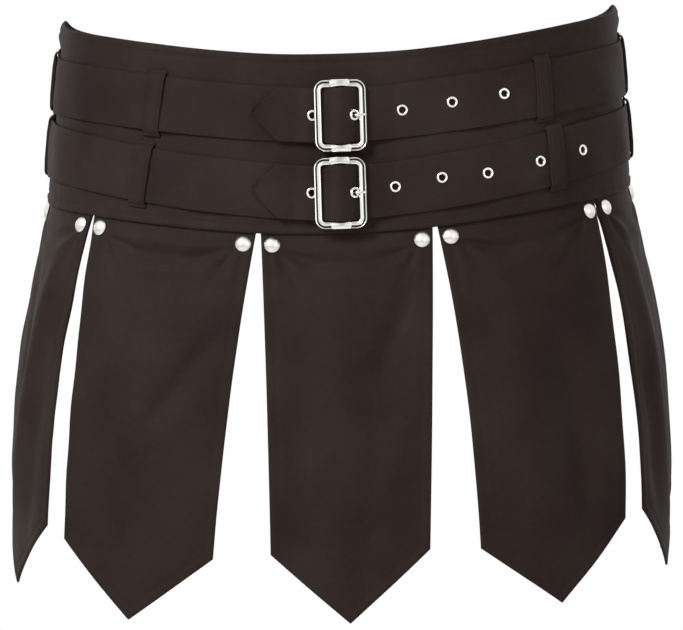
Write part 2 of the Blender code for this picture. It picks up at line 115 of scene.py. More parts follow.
# %% [markdown]
# The top edge dips at the front and the back and is highest just behind the hips. A few heights
# along it are joined by a smooth curve, so the edge has no corners.

# %% The line of the top edge
TOP_EDGE = (
    (0.0, 0.0),
    (0.04, 0.0009),
    (0.08, 0.0045),
    (0.12, 0.0096),
    (0.16, 0.0148),
    (0.20, 0.0186),
    (0.24, 0.0212),
    (0.28, 0.0242),
    (0.305, 0.0205),
    (0.36, 0.0135),
    (0.42, 0.0052),
    (0.48, -0.0005),
    (0.5155, -0.0015),
)


def smooth_curve(rows, x):
    """Heights at x on a smooth curve through rows of (x, height)."""
    given = np.array(rows)
    known, height = given[:, 0], given[:, 1]
    slope = np.gradient(height, known)
    slope[0] = slope[-1] = 0.0
    i = np.clip(np.searchsorted(known, x) - 1, 0, len(known) - 2)
    span = known[i + 1] - known[i]
    t = np.clip((x - known[i]) / span, 0, 1)
    return (
        (2 * t**3 - 3 * t**2 + 1) * height[i]
        + (t**3 - 2 * t**2 + t) * slope[i] * span
        + (3 * t**2 - 2 * t**3) * height[i + 1]
        + (t**3 - t**2) * slope[i + 1] * span
    )


def top_rise(arc):
    return smooth_curve(TOP_EDGE, np.abs(unrolled(arc)))


# %% Places on the yoke and beside it
def on_ring(arc, half_width, half_depth, out):
    """x and y on the ring of these half sizes, moved out from it."""
    step = 0.003
    x, y = ring(arc)
    x0, y0 = ring(arc - step)
    x1, y1 = ring(arc + step)
    along_x, along_y = (x1 - x0) * half_width, (y1 - y0) * half_depth
    length = np.hypot(along_x, along_y)
    return x * half_width + along_y / length * out, y * half_depth - along_x / length * out


def yoke_point(arc, drop, out=0.0):
    """Points of the yoke's outer face, moved out from it."""
    arc, drop, out = np.broadcast_arrays(np.asarray(arc, float), drop, out)
    share = drop / YOKE_HEIGHT
    half_width = mix(TOP_HALF_WIDTH, HIP_HALF_WIDTH, share)
    half_depth = mix(TOP_HALF_DEPTH, HIP_HALF_DEPTH, share)
    x, y = on_ring(arc, half_width, half_depth, out)
    z = YOKE_HEIGHT / 2 + top_rise(arc) - drop + x * math.tan(HIP_TILT)
    return np.stack([x, y, z], -1)


print("front of the waist:", yoke_point(0.0, 0.0).round(4))

# %% [markdown]
# ## Cloth tools
#
# A real panel starts as a flat piece of cloth with a thickness and softly rounded edges. Blender
# can do the same: a grid is given its outline in the plane, Solidify gives it a wall, and Bevel
# rounds the edges while they are still straight. Its flat place is kept as a UV map in metres,
# because the weave has to follow the cloth. Only then is every point moved to where it is worn.

# %% Cutting a flat piece and laying it on the body
def only(piece):
    bpy.ops.object.select_all(action="DESELECT")
    piece.select_set(True)
    bpy.context.view_layer.objects.active = piece


def apply_all(piece):
    only(piece)
    for modifier in list(piece.modifiers):
        bpy.ops.object.modifier_apply(modifier=modifier.name)


def points_of(mesh):
    flat = np.empty(len(mesh.vertices) * 3)
    mesh.vertices.foreach_get("co", flat)
    return flat.reshape(-1, 3)


def move_points(mesh, points):
    mesh.vertices.foreach_set("co", np.ascontiguousarray(points).ravel())
    mesh.update()


def map_cloth(mesh, flat):
    """Writes the UV map "Cloth" from a flat place for each point."""
    corners = np.empty(len(mesh.loops), int)
    mesh.loops.foreach_get("vertex_index", corners)
    while mesh.uv_layers:
        mesh.uv_layers.remove(mesh.uv_layers[0])
    cloth_map = mesh.uv_layers.new(name="Cloth")
    cloth_map.data.foreach_set("uv", flat[corners].ravel())


def round_edges(piece, width, segments, degrees):
    bevel = piece.modifiers.new("Rounded edges", "BEVEL")
    bevel.width = width
    bevel.segments = segments
    bevel.limit_method = "ANGLE"
    bevel.angle_limit = math.radians(degrees)
    apply_all(piece)


def smooth(piece, degrees):
    only(piece)
    bpy.ops.object.shade_smooth_by_angle(angle=math.radians(degrees))


def put_in_scene(name, data):
    made = bpy.data.objects.new(name, data)
    bpy.context.scene.collection.objects.link(made)
    return made


def cut_cloth(name, columns, rows, outline, wall, rounding):
    """A flat piece: outline takes shares across and up and gives the flat x and y."""
    bpy.ops.mesh.primitive_grid_add(x_subdivisions=columns, y_subdivisions=rows, size=1)
    piece = bpy.context.object
    piece.name = piece.data.name = name
    grid = points_of(piece.data)
    x, y = outline(grid[:, 0] + 0.5, grid[:, 1] + 0.5)
    move_points(piece.data, np.stack([x, y, np.zeros_like(x)], -1))
    solid = piece.modifiers.new("Wall", "SOLIDIFY")
    solid.thickness = wall
    solid.offset = 0
    round_edges(piece, rounding, 2, 60)
    return piece


def lay_cloth(piece, place):
    """Keeps the flat place as a UV map, then moves each point by place(x, y, out)."""
    flat = points_of(piece.data)
    map_cloth(piece.data, flat[:, :2])
    move_points(piece.data, place(flat[:, 0], flat[:, 1], flat[:, 2]))
    smooth(piece, 55)


# %% [markdown]
# Cloth is never quite flat. A fold is a long soft rise or trough along a line, given by its two
# ends, its width and its height. A pull from a stud fades along its length, and a fold in a
# hanging panel fades at both ends. They are placed where the real kilt shows them.

# %% Folds and small waves
MM = 0.001


def fold(x, y, row, pull):
    """How far a fold lifts the cloth at x and y; row is in millimetres."""
    x0, y0, x1, y1, width, height = (MM * n for n in row)
    length = math.hypot(x1 - x0, y1 - y0)
    ux, uy = (x1 - x0) / length, (y1 - y0) / length
    along = ((x - x0) * ux + (y - y0) * uy) / length
    away = (x - x0) * uy - (y - y0) * ux
    if pull:
        strength = np.clip(1 - along, 0, 1) * (1 / (1 + np.exp(-(along * length) / (0.6 * width))))
        width = width * (0.6 + 0.8 * np.clip(along, 0, 1))
    else:
        strength = np.exp(-((2 * (along - 0.5)) ** 4))
    return height * strength * bell(away, 0, width)


def folds(x, y, rows, pull=False):
    return sum((fold(x, y, row, pull) for row in rows), np.zeros_like(x))


def waves(x, y, size, height, seed):
    """Small uneven waves: a few sines that never line up."""
    total = np.zeros_like(x)
    for i in range(5):
        angle = 1.3 * seed + 2.4 * i
        length = size * (0.7 + 0.22 * i)
        total += np.sin((x * math.cos(angle) + y * math.sin(angle)) * math.tau / length + seed + i)
    return height * total / 2.5


# %% [markdown]
# ## Finishes
#
# The cloth is a dark brown twill, almost matt. Three node groups are made once: the fine diagonal
# weave, which also gives painted shade in its own hollows, and the uneven tone of dye and light
# wear, which every cloth uses, and the faint clouding and hairlines of plated nickel.

# %% Node group helpers
def new_group(name, inputs, outputs):
    tree = bpy.data.node_groups.new(name, "ShaderNodeTree")
    for label, kind, value in inputs:
        socket = tree.interface.new_socket(name=label, in_out="INPUT", socket_type=kind)
        if value is not None:
            socket.default_value = value
    for label, kind in outputs:
        tree.interface.new_socket(name=label, in_out="OUTPUT", socket_type=kind)
    return tree, tree.nodes.new("NodeGroupInput"), tree.nodes.new("NodeGroupOutput")


def fill(tree, sockets, values):
    """Gives each named socket a value, or a link where the value is a socket itself."""
    for name, value in values.items():
        if isinstance(value, bpy.types.NodeSocket):
            tree.links.new(value, sockets[name])
        else:
            sockets[name].default_value = value


def add_node(tree, kind, values, **settings):
    node = tree.nodes.new(f"ShaderNode{kind}")
    for name, value in settings.items():
        setattr(node, name, value)
    fill(tree, node.inputs, values)
    return node


def calc(tree, operation, *values):
    return add_node(tree, "Math", dict(enumerate(values)), operation=operation).outputs[0]


def noise(tree, vector, scale, detail):
    values = {"Vector": vector, "Scale": scale, "Detail": detail}
    return add_node(tree, "TexNoise", values).outputs["Fac"]


def scaled(tree, colour, scale):
    values = {0: colour, "Scale": scale}
    return add_node(tree, "VectorMath", values, operation="SCALE").outputs["Vector"]


# %% Twill weave
def twill_group():
    """Diagonal ribs of thread, each broken where it dives under its neighbour."""
    tree, start, end = new_group(
        "Twill weave",
        (("Cloth", "NodeSocketVector", None), ("Spacing", "NodeSocketFloat", 0.0007)),
        (("Height", "NodeSocketFloat"), ("Shade", "NodeSocketFloat")),
    )
    split = add_node(tree, "SeparateXYZ", {0: start.outputs["Cloth"]})
    x = calc(tree, "DIVIDE", split.outputs["X"], start.outputs["Spacing"])
    y = calc(tree, "DIVIDE", split.outputs["Y"], start.outputs["Spacing"])
    diagonal = calc(tree, "MULTIPLY_ADD", y, 0.8, x)
    rib = calc(tree, "SINE", calc(tree, "MULTIPLY", diagonal, math.tau))
    dive = calc(tree, "SINE", calc(tree, "MULTIPLY", y, 2.3 * math.tau))
    thread = calc(tree, "MULTIPLY_ADD", dive, 0.35, rib)
    slub = noise(tree, start.outputs["Cloth"], 900.0, 2.0)
    height = calc(tree, "MULTIPLY_ADD", slub, 1.6, thread)
    raised = calc(tree, "MULTIPLY_ADD", height, 0.25, 0.4)
    # Shade is painted shade: darker in the weave's hollows, lighter on its ribs.
    shade = calc(tree, "MULTIPLY_ADD", height, 0.12, 0.9)
    fill(tree, end.inputs, {"Height": raised, "Shade": shade})
    return tree


TWILL = twill_group()
print("made", TWILL.name)


# %% Dye and wear
def tone_group():
    """Mixes two tones of dye in soft patches, and darkens the weave's hollows with painted shade."""
    tree, start, end = new_group(
        "Dye tone and weave shade",
        (
            ("Place", "NodeSocketVector", None),
            ("Warm", "NodeSocketColor", (0.02, 0.014, 0.012, 1)),
            ("Worn", "NodeSocketColor", (0.024, 0.019, 0.017, 1)),
            ("Shade", "NodeSocketFloat", 1.0),
            ("Patch size", "NodeSocketFloat", 20.0),
        ),
        (("Colour", "NodeSocketColor"), ("Roughness", "NodeSocketFloat")),
    )
    place = start.outputs["Place"]
    broad = noise(tree, place, start.outputs["Patch size"], 2.0)
    patch = calc(tree, "MULTIPLY_ADD", noise(tree, place, 260.0, 3.0), 0.35, broad)
    ramp = add_node(tree, "MapRange", {"Value": patch, "From Min": 0.45, "From Max": 0.90})
    blend = add_node(tree, "Mix", {}, data_type="RGBA")
    tones = {"A": start.outputs["Warm"], "B": start.outputs["Worn"]}
    fill(tree, blend.inputs, tones | {"Factor": ramp.outputs["Result"]})
    # The weave's painted shade scales the dye colour down in its hollows.
    colour = scaled(tree, blend.outputs["Result"], start.outputs["Shade"])
    rough = calc(tree, "MULTIPLY_ADD", patch, -0.08, 0.66)
    fill(tree, end.inputs, {"Colour": colour, "Roughness": rough})
    return tree


DYE_AND_WEAVE_SHADE = tone_group()
print("made", DYE_AND_WEAVE_SHADE.name)


# %% Clouded nickel
def nickel_group():
    """Plating is never a clean mirror: soft clouds and fine hairlines change its gloss."""
    tree, start, end = new_group(
        "Clouded nickel",
        (
            ("Place", "NodeSocketVector", None),
            ("Gloss", "NodeSocketFloat", 0.2),
            ("Spread", "NodeSocketFloat", 0.1),
        ),
        tuple((label, "NodeSocketFloat") for label in ("Roughness", "Height", "Shade")),
    )
    place = start.outputs["Place"]
    cloud = noise(tree, place, 220.0, 3.0)
    stretch = {"Vector": place, "Scale": (6000.0, 400.0, 6000.0), "Rotation": (0.2, 0.3, 0.6)}
    hair = noise(tree, add_node(tree, "Mapping", stretch).outputs["Vector"], 1.0, 2.0)
    rough = calc(tree, "MULTIPLY_ADD", cloud, start.outputs["Spread"], start.outputs["Gloss"])
    shade = calc(tree, "MULTIPLY_ADD", cloud, 0.15, 0.88)
    fill(tree, end.inputs, {"Roughness": rough, "Height": hair, "Shade": shade})
    return tree


NICKEL = nickel_group()
print("made", NICKEL.name)


# %% [markdown]
# The yoke, the belts and the panels are cut from the same cloth. Each still gets its own material
# from the same groups, so that one can be changed without the others. The buckles and eyelets are
# polished, the groove of a buckle's rim gets a dark metal as painted shade, and the studs are satin.

# %% Materials
RIB_SPACING = 0.0007


def shader_of(name):
    made = bpy.data.materials.new(name)
    made.use_nodes = True
    return made, made.node_tree, made.node_tree.nodes["Principled BSDF"]


def bumped(tree, height, strength, distance):
    values = {"Height": height, "Strength": strength, "Distance": distance}
    return add_node(tree, "Bump", values).outputs["Normal"]


def cloth_material(name, warm, worn):
    made, tree, shader = shader_of(name)
    cloth = add_node(tree, "UVMap", {}, uv_map="Cloth").outputs["UV"]
    weave = add_node(tree, "Group", {}, node_tree=TWILL)
    fill(tree, weave.inputs, {"Cloth": cloth, "Spacing": RIB_SPACING})
    dye = add_node(tree, "Group", {}, node_tree=DYE_AND_WEAVE_SHADE)
    place = add_node(tree, "TexCoord", {}).outputs["Object"]
    # The weave's Shade darkens the colour in its hollows: painted shade.
    tones = {"Place": place, "Warm": (*warm, 1), "Worn": (*worn, 1), "Shade": weave.outputs["Shade"]}
    fill(tree, dye.inputs, tones)
    look = {
        "Base Color": dye.outputs["Colour"],
        "Roughness": dye.outputs["Roughness"],
        "Normal": bumped(tree, weave.outputs["Height"], 0.35, 0.0002),
        "Specular IOR Level": 0.06,
    }
    fill(tree, shader.inputs, look)
    return made


def metal_material(name, colour, gloss, spread):
    made, tree, shader = shader_of(name)
    plating = add_node(tree, "Group", {}, node_tree=NICKEL)
    place = add_node(tree, "TexCoord", {}).outputs["Object"]
    fill(tree, plating.inputs, {"Place": place, "Gloss": gloss, "Spread": spread})
    look = {
        "Base Color": scaled(tree, colour, plating.outputs["Shade"]),
        "Roughness": plating.outputs["Roughness"],
        "Normal": bumped(tree, plating.outputs["Height"], 0.06, 0.00005),
        "Metallic": 1.0,
    }
    fill(tree, shader.inputs, look)
    return made


CLOTH_WARM = (0.0190, 0.0110, 0.0104)
CLOTH_WORN = (0.0276, 0.0188, 0.0152)
YOKE_CLOTH = cloth_material("Yoke twill", CLOTH_WARM, CLOTH_WORN)
BELT_CLOTH = cloth_material("Belt twill", CLOTH_WARM, CLOTH_WORN)
PANEL_CLOTH = cloth_material("Panel twill", CLOTH_WARM, CLOTH_WORN)
THREAD = cloth_material("Sewing thread", (0.030, 0.020, 0.018), (0.036, 0.026, 0.022))
BUCKLE_METAL = metal_material("Polished nickel", (0.90, 0.88, 0.83), 0.08, 0.08)
# The groove's dark colour is painted shade in the recess between the rim's rails.
GROOVE_PAINTED_SHADE = metal_material("Shaded groove", (0.16, 0.15, 0.14), 0.35, 0.10)
STUD_METAL = metal_material("Satin nickel", (0.84, 0.81, 0.75), 0.26, 0.12)
print("materials:", len(bpy.data.materials))


def finish_piece(piece, coating):
    piece.data.materials.clear()
    piece.data.materials.append(coating)
    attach(piece, "root")


# %% [markdown]
# ## The yoke
#
# The yoke is a band of doubled cloth in two halves, sewn together at the hips. Its top edge is
# turned in and stitched 5 mm down, so the edge is a little thicker than the rest, and its lower
# edge is a folded hem that covers the tops of the panels. The belts press it flat between them.

# %% The two halves of the yoke
TOP_HEM = 0.0052
LOW_HEM = 0.0042
TOP_ROLL, LOW_ROLL = 0.00045, 0.0005
NEAR_HEM, PUCKER_SIZE, PUCKER_HEIGHT = 0.012, 0.011, 0.00012
SIDE_ROLL, SIDE_ROLL_ARC, SIDE_ROLL_DROP = 0.0024, 0.272, 0.0075
SEAM_RISE, SEAM_WIDTH = 0.0005, 0.0035
YOKE_COLUMNS, YOKE_ROWS = 330, 76
QUARTER = HALF_ROUND / 2


def hem_relief(depth, hem, height):
    """A turned hem at this depth from the edge: a full roll, then the dent of its stitching."""
    return height * (bell(depth, 0.5 * hem, 0.38 * hem) - 1.1 * bell(depth, hem, 0.0009))


def yoke_relief(arc, drop):
    arc = unrolled(arc)
    from_foot = YOKE_HEIGHT - drop
    lift = hem_relief(drop, TOP_HEM, TOP_ROLL) + hem_relief(from_foot, LOW_HEM, LOW_ROLL)
    near_hems = bell(drop, 0, NEAR_HEM) + bell(from_foot, 0, NEAR_HEM)
    pucker = waves(arc, drop * 0.4, PUCKER_SIZE, PUCKER_HEIGHT, 3.1) * near_hems
    roll = SIDE_ROLL * bell(np.abs(arc), SIDE_ROLL_ARC, 0.03) * bell(drop, SIDE_ROLL_DROP, 0.0055)
    seam = SEAM_RISE * bell(np.abs(arc), QUARTER, SEAM_WIDTH)
    soft = waves(arc, drop, 0.06, 0.0005, 1.7) * np.sin(math.pi * np.clip(drop / YOKE_HEIGHT, 0, 1))
    return lift + pucker + roll + seam + soft


def make_yoke(name, node, start, end):
    def outline(across, up):
        return mix(start, end, across), -YOKE_HEIGHT * (1 - up)

    piece = cut_cloth(name, YOKE_COLUMNS, YOKE_ROWS, outline, YOKE_WALL, WIDE_ROUNDING)

    def place(x, y, out):
        return yoke_point(x, -y, out - YOKE_WALL / 2 + yoke_relief(x, -y))

    lay_cloth(piece, place)
    finish_piece(piece, YOKE_CLOTH)
    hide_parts(node)
    return piece


# The halves meet at the hips with a seam too fine to see through.
SEAM = 0.00002
yoke_front = make_yoke("cloth_yoke_front", "yoke_front", -QUARTER + SEAM, QUARTER - SEAM)
yoke_back = make_yoke("cloth_yoke_back", "yoke_back", QUARTER + SEAM, 3 * QUARTER - SEAM)
print("yoke halves:", len(yoke_front.data.polygons), "faces each")

# %% [markdown]
# ## The belts
#
# Each belt is one long strap. It starts at the pointed end, lies on the belt, passes over the
# buckle's centre bar, goes once round the hips and comes back under itself to fold round the same
# bar. The route is a row of stations: an arc, a distance out from the yoke and a width. The table
# gives each loop in front by its name, its arc and the lean of its foot, and each eyelet by its
# arc and its height above the middle of the belt.

# %% Sizes of the belts and buckles
BELT_WIDTH, STRAP_WIDTH, BELT_WALL = 0.032, 0.0314, 0.0014
OVER_BAR_WIDTH, OVER_BAR_REACH = 0.0326, 0.0046
ROUND_START, ROUND_END, ROUND_STATIONS, BELT_ROWS = 0.046, 0.024, 85, 12
FULL_MIDDLE, PRESSED_EDGE, PINCH_RISE = 0.0004, 0.0003, 0.0010
TIP_WIDTH, POINT_LENGTH, TIP_LIFT = 0.0016, 0.015, 0.0016
BELTS = {
    "upper": {
        "drop": 0.0342,
        "lift": 0.0,
        "tip": -0.0516,
        "loops": (("left", -0.1125, -0.003), ("right", 0.1255, 0.0)),
        "eyelets": (
            (-0.0157, 0.0),
            (0.0086, 0.0),
            (0.0380, 0.0),
            (0.0680, 0.0008),
            (0.1000, 0.0010),
        ),
    },
    "lower": {
        "drop": 0.0792,
        "lift": 0.007,
        "tip": -0.0506,
        "loops": (("left", -0.1185, -0.004), ("right", 0.1315, 0.001)),
        "eyelets": (
            (-0.0158, 0.0),
            (0.0087, 0.0),
            (0.0329, 0.0009),
            (0.0606, 0.0022),
            (0.0878, 0.0),
            (0.1208, 0.0),
            (0.1515, 0.0),
        ),
    },
}
BUCKLE_ARC, BUCKLE_DROP, BUCKLE_REACH = 0.0009, 0.0018, 0.035
BUCKLE_WIDTH, BUCKLE_HEIGHT = 0.0307, 0.0420
RIM_WIDTH, RIM_DEPTH, CORNER_RADIUS = 0.0046, 0.0026, 0.0064
SLEEVE_LENGTH, SLEEVE_RADIUS = 0.0119, 0.0027
BEAD_RADIUS, BEAD_WIDTH, BEAD_INSET = SLEEVE_RADIUS + 0.0002, 0.0009, 0.0007
BAR_RADIUS, BAR_SINK, RIM_CLEARANCE = 0.001, 0.0012, 0.0011
PRONG_RADIUS = 0.0008
EYELET_RADIUS, EYELET_HOLE, STRAP_HOLE = 0.0034, 0.0018, 0.0024


def belt_drop(belt, arc):
    """A belt's middle rides up towards the sides and sags a little under its buckle."""
    side = ring(arc)[0]
    sag = BUCKLE_DROP * bell(unrolled(arc - BUCKLE_ARC), 0, BUCKLE_REACH)
    return belt["drop"] - belt["lift"] * side**2 + sag


def layer(number):
    return GAP + BELT_WALL / 2 + number * (BELT_WALL + GAP)


RIM_OUT = layer(2) + BELT_WALL / 2 + RIM_CLEARANCE + RIM_DEPTH / 2
BAR_OUT = RIM_OUT - BAR_SINK
WRAP_RADIUS = BAR_RADIUS + 2 * GAP + BELT_WALL / 2
STRAP_TOP_OUT = BAR_OUT + WRAP_RADIUS + BELT_WALL + GAP
RIM_REACH = (BUCKLE_WIDTH - RIM_WIDTH) / 2
STRAP_STATIONS = (
    (-0.031, layer(1)),
    (-0.026, layer(1)),
    (-0.0210, layer(2)),
    (-RIM_REACH, layer(2)),
    (-0.0085, layer(2) + 0.0014),
    (-0.0045, STRAP_TOP_OUT - 0.0012),
    (0.0, STRAP_TOP_OUT),
    (0.0040, STRAP_TOP_OUT - 0.0010),
    (0.0074, STRAP_TOP_OUT - 0.0024),
    (0.0098, layer(2) + 0.0012),
    (0.0122, layer(2) + 0.0002),
    (0.0180, layer(2) - 0.0008),
    (0.025, layer(1) - 0.0004),
    (0.034, layer(0)),
)
print("layers of belt:", [round(layer(n), 4) for n in range(3)])


# %% The route of a belt
def belt_route(belt):
    """Stations of (arc, distance out, width) from the pointed end to the fold round the bar."""
    tip = belt["tip"]
    route = []
    for share in (0.0, 0.1, 0.35, 0.7, 1.0):
        width = mix(TIP_WIDTH, STRAP_WIDTH, share**0.85)
        route.append((tip + POINT_LENGTH * share, layer(1), width))
    for along, out in STRAP_STATIONS:
        width = OVER_BAR_WIDTH if abs(along) < OVER_BAR_REACH else STRAP_WIDTH
        route.append((BUCKLE_ARC + along, out, width))
    bar = 2 * HALF_ROUND + BUCKLE_ARC
    for arc in np.linspace(BUCKLE_ARC + ROUND_START, bar - ROUND_END, ROUND_STATIONS):
        route.append((arc, layer(0), BELT_WIDTH))
    fold_round = [(-0.0140, layer(0)), (-0.0095, layer(0))]
    fold_round.append((-0.0045, mix(layer(0), BAR_OUT - WRAP_RADIUS, 0.6)))
    for turn in np.linspace(0, math.pi, 9):
        out = BAR_OUT - WRAP_RADIUS * math.cos(turn)
        fold_round.append((WRAP_RADIUS * math.sin(turn), out))
    fold_round.append((-0.0025, BAR_OUT + WRAP_RADIUS - 0.0007))
    fold_round.append((-0.0065, layer(1) + 0.0010))
    fold_round += [(-0.0105, layer(1)), (-0.0160, layer(1))]
    route += [(bar + along, out, STRAP_WIDTH) for along, out in fold_round]
    return np.array(route)


def belt_run(belt):
    """The route made smooth: length run, arc, distance out and width at each point."""
    steps, tread, reach = 5, 0.0004, 4
    route = belt_route(belt)
    strides = np.hypot(np.diff(route[:, 0]), np.diff(route[:, 1]))
    length = np.concatenate([[0], np.cumsum(strides)])
    spans = zip(length, length[1:])
    fine = [np.linspace(a, b, steps, endpoint=False) for a, b in spans]
    fine = np.concatenate(fine + [length[-1:]])
    arc, out, width = (np.interp(fine, length, route[:, i]) for i in range(3))
    even = np.arange(0, length[-1], tread)
    kernel = np.hanning(2 * reach + 1)
    kernel /= kernel.sum()
    soft = []
    for values in (arc, out):
        padded = np.pad(np.interp(even, fine, values), reach, mode="reflect", reflect_type="odd")
        soft.append(np.interp(fine, even, np.convolve(padded, kernel, "valid")))
    return fine, *soft, width


belt_length = belt_run(BELTS["upper"])[0][-1]
print("length of a belt:", round(belt_length, 3))


# %% [markdown]
# The strap is cut flat, with its holes punched while it is flat: a cylinder is taken out of it
# with a Boolean at each eyelet. A wrapped strap would be much harder to punch cleanly. Each point
# then moves to its place on the route, square to the way that the strap runs there.

# %% Making a belt
def punch(piece, spots, radius):
    for x, y in spots:
        at = (x, y, 0)
        bpy.ops.mesh.primitive_cylinder_add(vertices=28, radius=radius, depth=0.01, location=at)
        tool = bpy.context.object
        cut = piece.modifiers.new("Hole", "BOOLEAN")
        cut.operation = "DIFFERENCE"
        cut.solver = "EXACT"
        cut.object = tool
        apply_all(piece)
        bpy.data.objects.remove(tool)


def belt_pinch(arc, share, spot):
    """Two short slanting ridges beside a loop, on the side towards the buckle."""
    away = (arc - spot) * (-1 if spot > 0 else 1)
    slant = away - 0.008
    ridges = bell(share - 25 * slant, 0.15, 0.22) + bell(share + 18 * slant, -0.45, 0.18)
    return PINCH_RISE * bell(away, 0.012, 0.008) * ridges


def belt_relief(belt, arc, share):
    """Pressed edges, a slightly full middle and soft waves; share is 0 at the middle."""
    middle = FULL_MIDDLE * (1 - np.clip(np.abs(share), 0, 1) ** 4)
    middle = middle - PRESSED_EDGE * bell(np.abs(share), 0.86, 0.05)
    soft = waves(arc, share * 0.015, 0.045, 0.0006, belt["drop"] * 100)
    pinches = sum(belt_pinch(arc, share, spot) for _, spot, _ in belt["loops"])
    return middle + (soft + pinches) * (1 - bell(unrolled(arc - BUCKLE_ARC), 0, 0.03))


def make_belt(label, belt):
    fine, arcs, outs, widths = belt_run(belt)
    last = len(fine) - 1

    def outline(across, up):
        return np.interp(across * last, np.arange(last + 1), fine), BELT_WIDTH * (up - 0.5)

    piece = cut_cloth(f"cloth_belt_{label}", last, BELT_ROWS, outline, BELT_WALL, BELT_ROUNDING)
    spots = []
    for arc, up in belt["eyelets"]:
        first = int(np.argmin(np.abs(arcs[: last // 2] - arc)))
        y = up * BELT_WIDTH / widths[first]
        spots.append((np.interp(arc, arcs[: last // 2], fine[: last // 2]), y))
    punch(piece, spots, STRAP_HOLE)
    lean_arc, lean_out = np.gradient(arcs, fine), np.gradient(outs, fine)
    lean = np.hypot(lean_arc, lean_out)
    lean_arc, lean_out = lean_arc / lean, lean_out / lean

    def place(x, y, out):
        arc, far, width = (np.interp(x, fine, rows) for rows in (arcs, outs, widths))
        along_arc, along_out = np.interp(x, fine, lean_arc), np.interp(x, fine, lean_out)
        share = y / (BELT_WIDTH / 2)
        on_yoke = np.abs(far - layer(0)) < 0.0001
        lift = belt_relief(belt, arc, share) * on_yoke
        from_point = np.maximum(x - POINT_LENGTH, 0)
        lift = lift + TIP_LIFT * bell(from_point, 0, 0.012) * (0.35 + 0.65 * share**2)
        arc = arc - along_out * out
        drop = belt_drop(belt, arc) - share * width / 2
        return yoke_point(arc, drop, far + along_arc * out + lift)

    lay_cloth(piece, place)
    finish_piece(piece, BELT_CLOTH)
    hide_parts(f"belt_{label}")
    return piece


for label, belt in BELTS.items():
    made = make_belt(label, belt)
    print(made.name, len(made.data.polygons), "faces")

# %% [markdown]
# ## The panels
#
# Ten panels hang from the yoke, five in front. Each is two layers sewn face to face along its
# sides and point, turned out and pressed, so its edges are round and slightly full. It is tucked
# 10 mm behind the yoke and held there by a stud at each top corner. The studs pull the cloth, and
# small slanting creases fan out from them.

# %% Sizes of the panels
PANEL_WALL, PANEL_SHIFT, PANEL_TUCK = 0.0015, 0.0046, 0.010
PANEL_DROP, POINT_HEIGHT = 0.226, 0.040
SLIT_AT_SEAM, PANEL_TAPER = 0.0028, 0.0045
FLARE_WIDTH, FLARE_DEPTH, FLARE_EASE = 0.025, 0.018, 2.6
HEM_SHIFT, SWING_EASE = 0.0015, 1.3
PANEL_PITCH = 0.1031
INNER_SLIT, OUTER_SLIT, HIP_SLIT = 0.5 * PANEL_PITCH, 1.5 * PANEL_PITCH + 0.005, 2.5 * PANEL_PITCH
STUD_RADIUS, STUD_HEIGHT, STUD_INSET, STUD_DROP = 0.0046, 0.0026, 0.0078, 0.0062
BACK_SLITS_OUT = (0.0028, 0.0055)
EDGE_ROLL, EDGE_DENT = 0.00025, 0.00022
OUT_OF_YOKE, FREE_OF_YOKE = 0.004, 0.015


def panel_table():
    """Name, start and end arc, change of length and swing of the foot of each panel."""
    rows = []
    for name, start, end, longer, swing in (
        ("front", -INNER_SLIT, INNER_SLIT, 0.0, 0.0),
        ("front_left", -OUTER_SLIT, -INNER_SLIT, 0.002, -0.0095),
        ("front_right", INNER_SLIT, OUTER_SLIT, 0.001, 0.005),
        ("side_left", -HIP_SLIT, -OUTER_SLIT, -0.005, -0.001),
        ("side_right", OUTER_SLIT, HIP_SLIT, -0.003, -0.003),
    ):
        rows.append((name, PANEL_SHIFT + start, PANEL_SHIFT + end, longer, swing))
    inner, outer = INNER_SLIT + BACK_SLITS_OUT[0], OUTER_SLIT + BACK_SLITS_OUT[1]
    edges = [PANEL_SHIFT + HIP_SLIT]
    edges += [HALF_ROUND - PANEL_SHIFT + step for step in (-outer, -inner, inner, outer)]
    edges.append(2 * HALF_ROUND + PANEL_SHIFT - HIP_SLIT)
    back = (
        ("hip_right", -0.006, -0.007),
        ("back_right", 0.0, -0.006),
        ("back", -0.002, 0.0),
        ("back_left", 0.0, 0.0105),
        ("hip_left", -0.006, 0.008),
    )
    for (name, longer, swing), start, end in zip(back, edges, edges[1:]):
        rows.append((name, start, end, longer, swing))
    return [dict(zip(("name", "start", "end", "longer", "swing"), row)) for row in rows]


PANELS = panel_table()
print("panels:", [row["name"] for row in PANELS])


# %% Places on a panel
def panel_half_width(row, fall):
    pitch = (row["end"] - row["start"]) / 2
    return pitch - SLIT_AT_SEAM / 2 - PANEL_TAPER * np.maximum(fall, 0) / PANEL_DROP


def arc_at(target, half_width, half_depth, start):
    """The arc whose point on the larger ring lies this far along it from start."""
    steps = 12
    stride = np.where(target >= 0, 0.002, -0.002)
    arc = start + 0 * target
    for _ in range(steps):
        x0, y0 = ring(arc)
        x1, y1 = ring(arc + stride)
        grown = np.hypot((x1 - x0) * half_width, (y1 - y0) * half_depth)
        arc = arc + stride * np.abs(target) / steps / grown
    return arc


